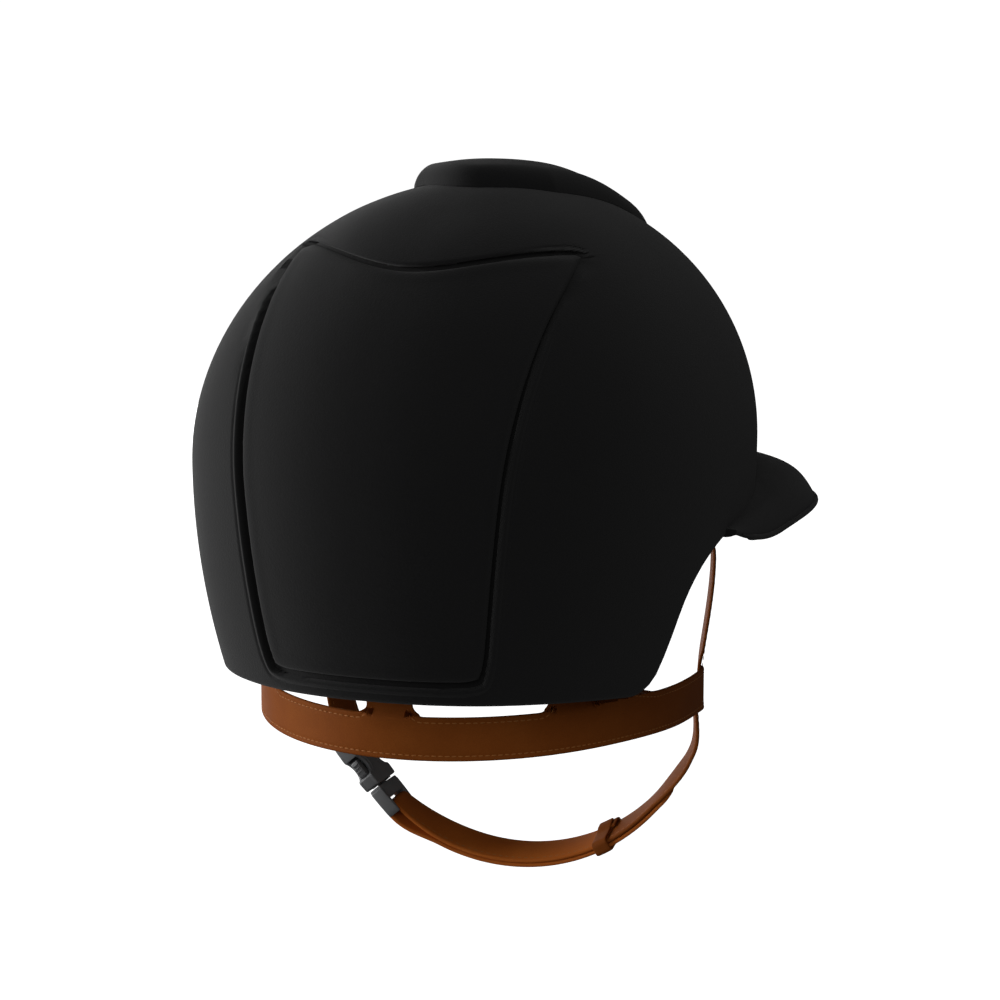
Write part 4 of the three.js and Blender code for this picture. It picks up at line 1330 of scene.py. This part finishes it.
# ---------- buckle ----------
# In the buckle's own frame: a along the strap to the lowest point, b across it, c out of the loop.
FEMALE_END, FEMALE_MOUTH, BUCKLE_HALF, BUCKLE_DEEP = -22.0, 2.0, 10.5, 3.8
MALE_START, MALE_END, MALE_HALF, MALE_DEEP = 2.8, 17.0, 10.0, 3.0


def buckle_point(points):
    angle = math.radians(BUCKLE_AT)
    along = np.array([-math.cos(angle), 0, -math.sin(angle)])
    out = np.array([math.sin(angle), 0, -math.cos(angle)])
    origin = chin_point(np.array(float(BUCKLE_AT)), BUCKLE_RADIUS)
    across = np.array([0, 1.0, 0])
    return origin + points[:, :1] * along + points[:, 1:2] * across + points[:, 2:] * out


def rounded_polygon(corners, radius):
    """Corners of a closed outline, each replaced by a short arc. A corner may carry its own radius."""
    outline = []
    for k, corner in enumerate(corners):
        here = np.array(corner[:2], float)
        r = corner[2] if len(corner) > 2 else radius
        before = np.array(corners[k - 1][:2], float) - here
        after = np.array(corners[(k + 1) % len(corners)][:2], float) - here
        start = here + unit(before) * min(r, np.linalg.norm(before) / 2)
        end = here + unit(after) * min(r, np.linalg.norm(after) / 2)
        for t in np.linspace(0, 1, 6):
            outline.append((1 - t) ** 2 * start + 2 * t * (1 - t) * here + t**2 * end)
    return np.array(outline)


def plate(outline, low, high, bevel=0.5, holes=()):
    """A flat plate with rounded edges, from a filled curve, as points and faces."""
    curve = bpy.data.curves.new("outline", "CURVE")
    curve.dimensions = "2D"
    curve.fill_mode = "BOTH"
    curve.extrude = (high - low) / 2 - bevel
    curve.bevel_depth = bevel
    curve.bevel_resolution = 3
    curve.offset = -bevel
    for loop in (outline, *holes):
        spline = curve.splines.new("POLY")
        spline.points.add(len(loop) - 1)
        for point, (a, b) in zip(spline.points, loop):
            point.co = (a, b, 0, 1)
        spline.use_cyclic_u = True
    holder = bpy.data.objects.new("outline", curve)
    mesh = holder.to_mesh()
    points = np.array([v.co for v in mesh.vertices], float) + [0, 0, (low + high) / 2]
    faces = [tuple(p.vertices) for p in mesh.polygons]
    holder.to_mesh_clear()
    bpy.data.objects.remove(holder)
    bpy.data.curves.remove(curve)
    return points, faces


def mirrored(corners):
    """An outline given for positive b, with its mirror image."""
    return list(corners) + [(a, -b, *rest) for a, b, *rest in reversed(corners)]


def buckle_piece(name, parts, body, *nodes):
    points, faces = merged(*parts)
    obj = piece(name, buckle_point(points), faces, NYLON, "buckle", body=body, sharp=50)
    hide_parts(*nodes)


def box_outline(a_low, a_high, b_low, b_high, radius=0.5):
    return rounded_polygon([(a_low, b_low), (a_high, b_low), (a_high, b_high), (a_low, b_high)], radius)


def buckle():
    # the two faces, drawn in at the windows where the prongs' pads show
    face = rounded_polygon(mirrored([
        (FEMALE_END, 8.6, 2.5), (-13.4, 9.6, 2.0), (-12.2, 7.4, 2.5), (-8.2, 5.6, 4.0), (-4.4, 7.6, 2.5),
        (-3.4, BUCKLE_HALF, 1.2), (FEMALE_MOUTH, 9.9, 1.0),
    ]), 1.0)
    strap_slot = [box_outline(-19.6, -16.4, -8, 8, 0.8)]
    parts = [
        plate(face, -BUCKLE_DEEP, -2.2, 0.45, strap_slot),
        plate(face, 2.2, BUCKLE_DEEP, 0.45, strap_slot),
        plate(box_outline(-16.4, -13.6, -9.2, 9.2, 0.6), -3.0, 3.0, 0.4),
        plate(box_outline(FEMALE_END + 0.2, -19.6, -8.5, 8.5, 1.8), -3.2, 3.2, 0.5),
    ]
    for side in (-1, 1):
        rail = [(-21.6, 8.0 * side), (-13.4, 8.0 * side), (-13.2, 9.5 * side), (-21.4, 8.9 * side)]
        parts.append(plate(rounded_polygon(rail, 0.5), -3.4, 3.4, 0.3))
        shoulder = [(-4.0, 8.7 * side), (1.8, 8.7 * side), (1.7, 9.9 * side), (-3.2, 10.4 * side)]
        parts.append(plate(rounded_polygon(shoulder, 0.5), -3.4, 3.4, 0.3))
    # a raised arc round each window, on both faces
    for side in (-1, 1):
        turn = np.linspace(math.radians(205), math.radians(340), 24)
        arc = np.stack([-8.3 + 4.9 * np.cos(turn), 8.9 + 4.9 * np.sin(turn)], -1)
        for level in (-BUCKLE_DEEP, BUCKLE_DEEP):
            rings = []
            for k, (a, b) in enumerate(arc):
                out = unit(np.array([a + 8.3, b - 8.9]))
                angles = np.linspace(0, 2 * math.pi, 8, endpoint=False)
                rings.append([(a + 0.35 * math.cos(t) * out[0], side * (b + 0.35 * math.cos(t) * out[1]),
                               level + 0.3 * math.sin(t)) for t in angles])
            parts.append(tube(rings))
    buckle_piece("buckle_female_body", parts, "chin_left", "buckle_female")

    base = rounded_polygon(mirrored([(MALE_START, 9.6, 0.8), (9.4, MALE_HALF, 0.8)]), 0.8)
    parts = [
        plate(base, -MALE_DEEP, MALE_DEEP, 0.6),
        plate(box_outline(MALE_BAR, 16.6, -8.6, 8.6, 0.8), -1.45, 0.95, 0.5),
        plate(rounded_polygon(mirrored([(-11, 1.6, 0.8), (3.4, 2.0, 0.1)]), 0.5), -1.5, 1.5, 0.4),
    ]
    for side in (-1, 1):
        rail = [
            (4.0, 7.9 * side), (14.5, 7.9 * side, 1.2), (MALE_END, 8.5 * side, 1.0),
            (15.6, 9.5 * side, 2.0), (9.0, MALE_HALF * side, 3.0), (4.0, MALE_HALF * side),
        ]
        parts.append(plate(rounded_polygon(rail, 0.4), -MALE_DEEP, MALE_DEEP, 0.55))
    buckle_piece("buckle_male_body", parts, "buckle_plug", "buckle_male")

    for name, side in (("rear", 1), ("front", -1)):
        arm = [
            (2.4, 5.2), (2.4, 7.6), (-3.6, 8.2, 1.0), (-4.5, 9.9, 0.8),
            (-8.2, 10.2, 3.0), (-12.0, 9.2, 1.0), (-12.0, 7.6, 0.8), (-7.0, 6.0, 2.0),
        ]
        outline = rounded_polygon([(a, side * b, *rest) for a, b, *rest in arm], 0.4)
        near, far = sorted((side * 9.3, side * 10.35))
        grips = [
            plate(box_outline(at - 0.3, at + 0.3, near, far, 0.2), -1.5, 1.5, 0.15)
            for at in (-10.2, -8.6, -7.0)
        ]
        buckle_piece(f"buckle_prong_{name}_arm", [plate(outline, -1.9, 1.9, 0.45), *grips],
                     f"prong_{name}", f"buckle_prong_{name}")


buckle()

# ---------- CAD nodes that stay, with their finishes ----------
FINISHES = {"hook_patch": TAPE, "anchor_rivet": STEEL, "visor_screw": STEEL}
for obj in list(bpy.context.scene.objects):
    for start, finish in FINISHES.items():
        if obj.type == "MESH" and obj.name.startswith(start):
            obj.data.materials.clear()
            obj.data.materials.append(finish)

# ---------- stage, lights, camera ----------
FLOOR_Z, FLOOR_HALF = -0.12, 30.0          # in metres


def stage_material():
    material = bpy.data.materials.new("stage_white")
    material.use_nodes = True
    shader = material.node_tree.nodes["Principled BSDF"]
    shader.inputs["Base Color"].default_value = (0.9, 0.9, 0.9, 1)
    shader.inputs["Roughness"].default_value = 1.0
    shader.inputs["Emission Color"].default_value = (1, 1, 1, 1)
    shader.inputs["Emission Strength"].default_value = 1.0
    return material


def floor():
    mesh = bpy.data.meshes.new("floor")
    corners = [(x * FLOOR_HALF, y * FLOOR_HALF, FLOOR_Z) for x, y in ((-1, -1), (1, -1), (1, 1), (-1, 1))]
    mesh.from_pydata(corners, [], [(0, 1, 2, 3)])
    mesh.materials.append(stage_material())
    obj = bpy.data.objects.new("floor", mesh)
    bpy.context.scene.collection.objects.link(obj)
    obj.visible_diffuse = False
    obj.visible_glossy = False
    obj.visible_shadow = False


floor()


def world(strength):
    """A dim white room that the camera sees as plain white."""
    made = bpy.data.worlds.new("studio")
    made.use_nodes = True
    tree = made.node_tree
    background = tree.nodes["Background"]
    background.inputs["Color"].default_value = (1, 1, 1, 1)
    background.inputs["Strength"].default_value = strength
    seen = tree.nodes.new("ShaderNodeBackground")
    seen.inputs["Strength"].default_value = 1.0
    path = tree.nodes.new("ShaderNodeLightPath")
    mix = tree.nodes.new("ShaderNodeMixShader")
    tree.links.new(path.outputs["Is Camera Ray"], mix.inputs[0])
    tree.links.new(background.outputs[0], mix.inputs[1])
    tree.links.new(seen.outputs[0], mix.inputs[2])
    tree.links.new(mix.outputs[0], tree.nodes["World Output"].inputs["Surface"])
    bpy.context.scene.world = made


world(0.075)

# in metres, from the camera fitted to the photograph
TARGET = Vector((-0.002, -0.017, 0.070))
CAMERA_AT = Vector((-0.4782, 1.3355, 0.3377))
CAMERA_LENS, SENSOR_WIDTH = 126.6, 36


def aimed(obj, target):
    obj.rotation_euler = (target - obj.location).to_track_quat("-Z", "Y").to_euler()


def area_light(name, place, size, energy):
    data = bpy.data.lights.new(name, "AREA")
    data.shape = "DISK"
    data.size = size
    data.energy = energy
    obj = bpy.data.objects.new(name, data)
    obj.location = place
    bpy.context.scene.collection.objects.link(obj)
    aimed(obj, Vector((0, 0, 0.08)))


view_way = (TARGET - CAMERA_AT).normalized()
right_way = view_way.cross(Vector((0, 0, 1))).normalized()
area_light("key_left", TARGET - right_way * 1.6 + view_way * 0.3 + Vector((0, 0, 0.1)), 0.8, 17.5)
area_light("fill_camera", TARGET - view_way * 1.9 - right_way * 0.6 + Vector((0, 0, 0.5)), 1.6, 11)
area_light("inside_left", TARGET - right_way * 0.5 + view_way * 1.4 + Vector((0, 0, 0.12)), 1.0, 5)

camera_data = bpy.data.cameras.new("camera")
camera_data.sensor_width = SENSOR_WIDTH
camera_data.lens = CAMERA_LENS
camera = bpy.data.objects.new("camera", camera_data)
camera.location = CAMERA_AT
aimed(camera, TARGET)
bpy.context.scene.collection.objects.link(camera)
bpy.context.scene.camera = camera
bpy.context.scene.view_settings.view_transform = "Standard"
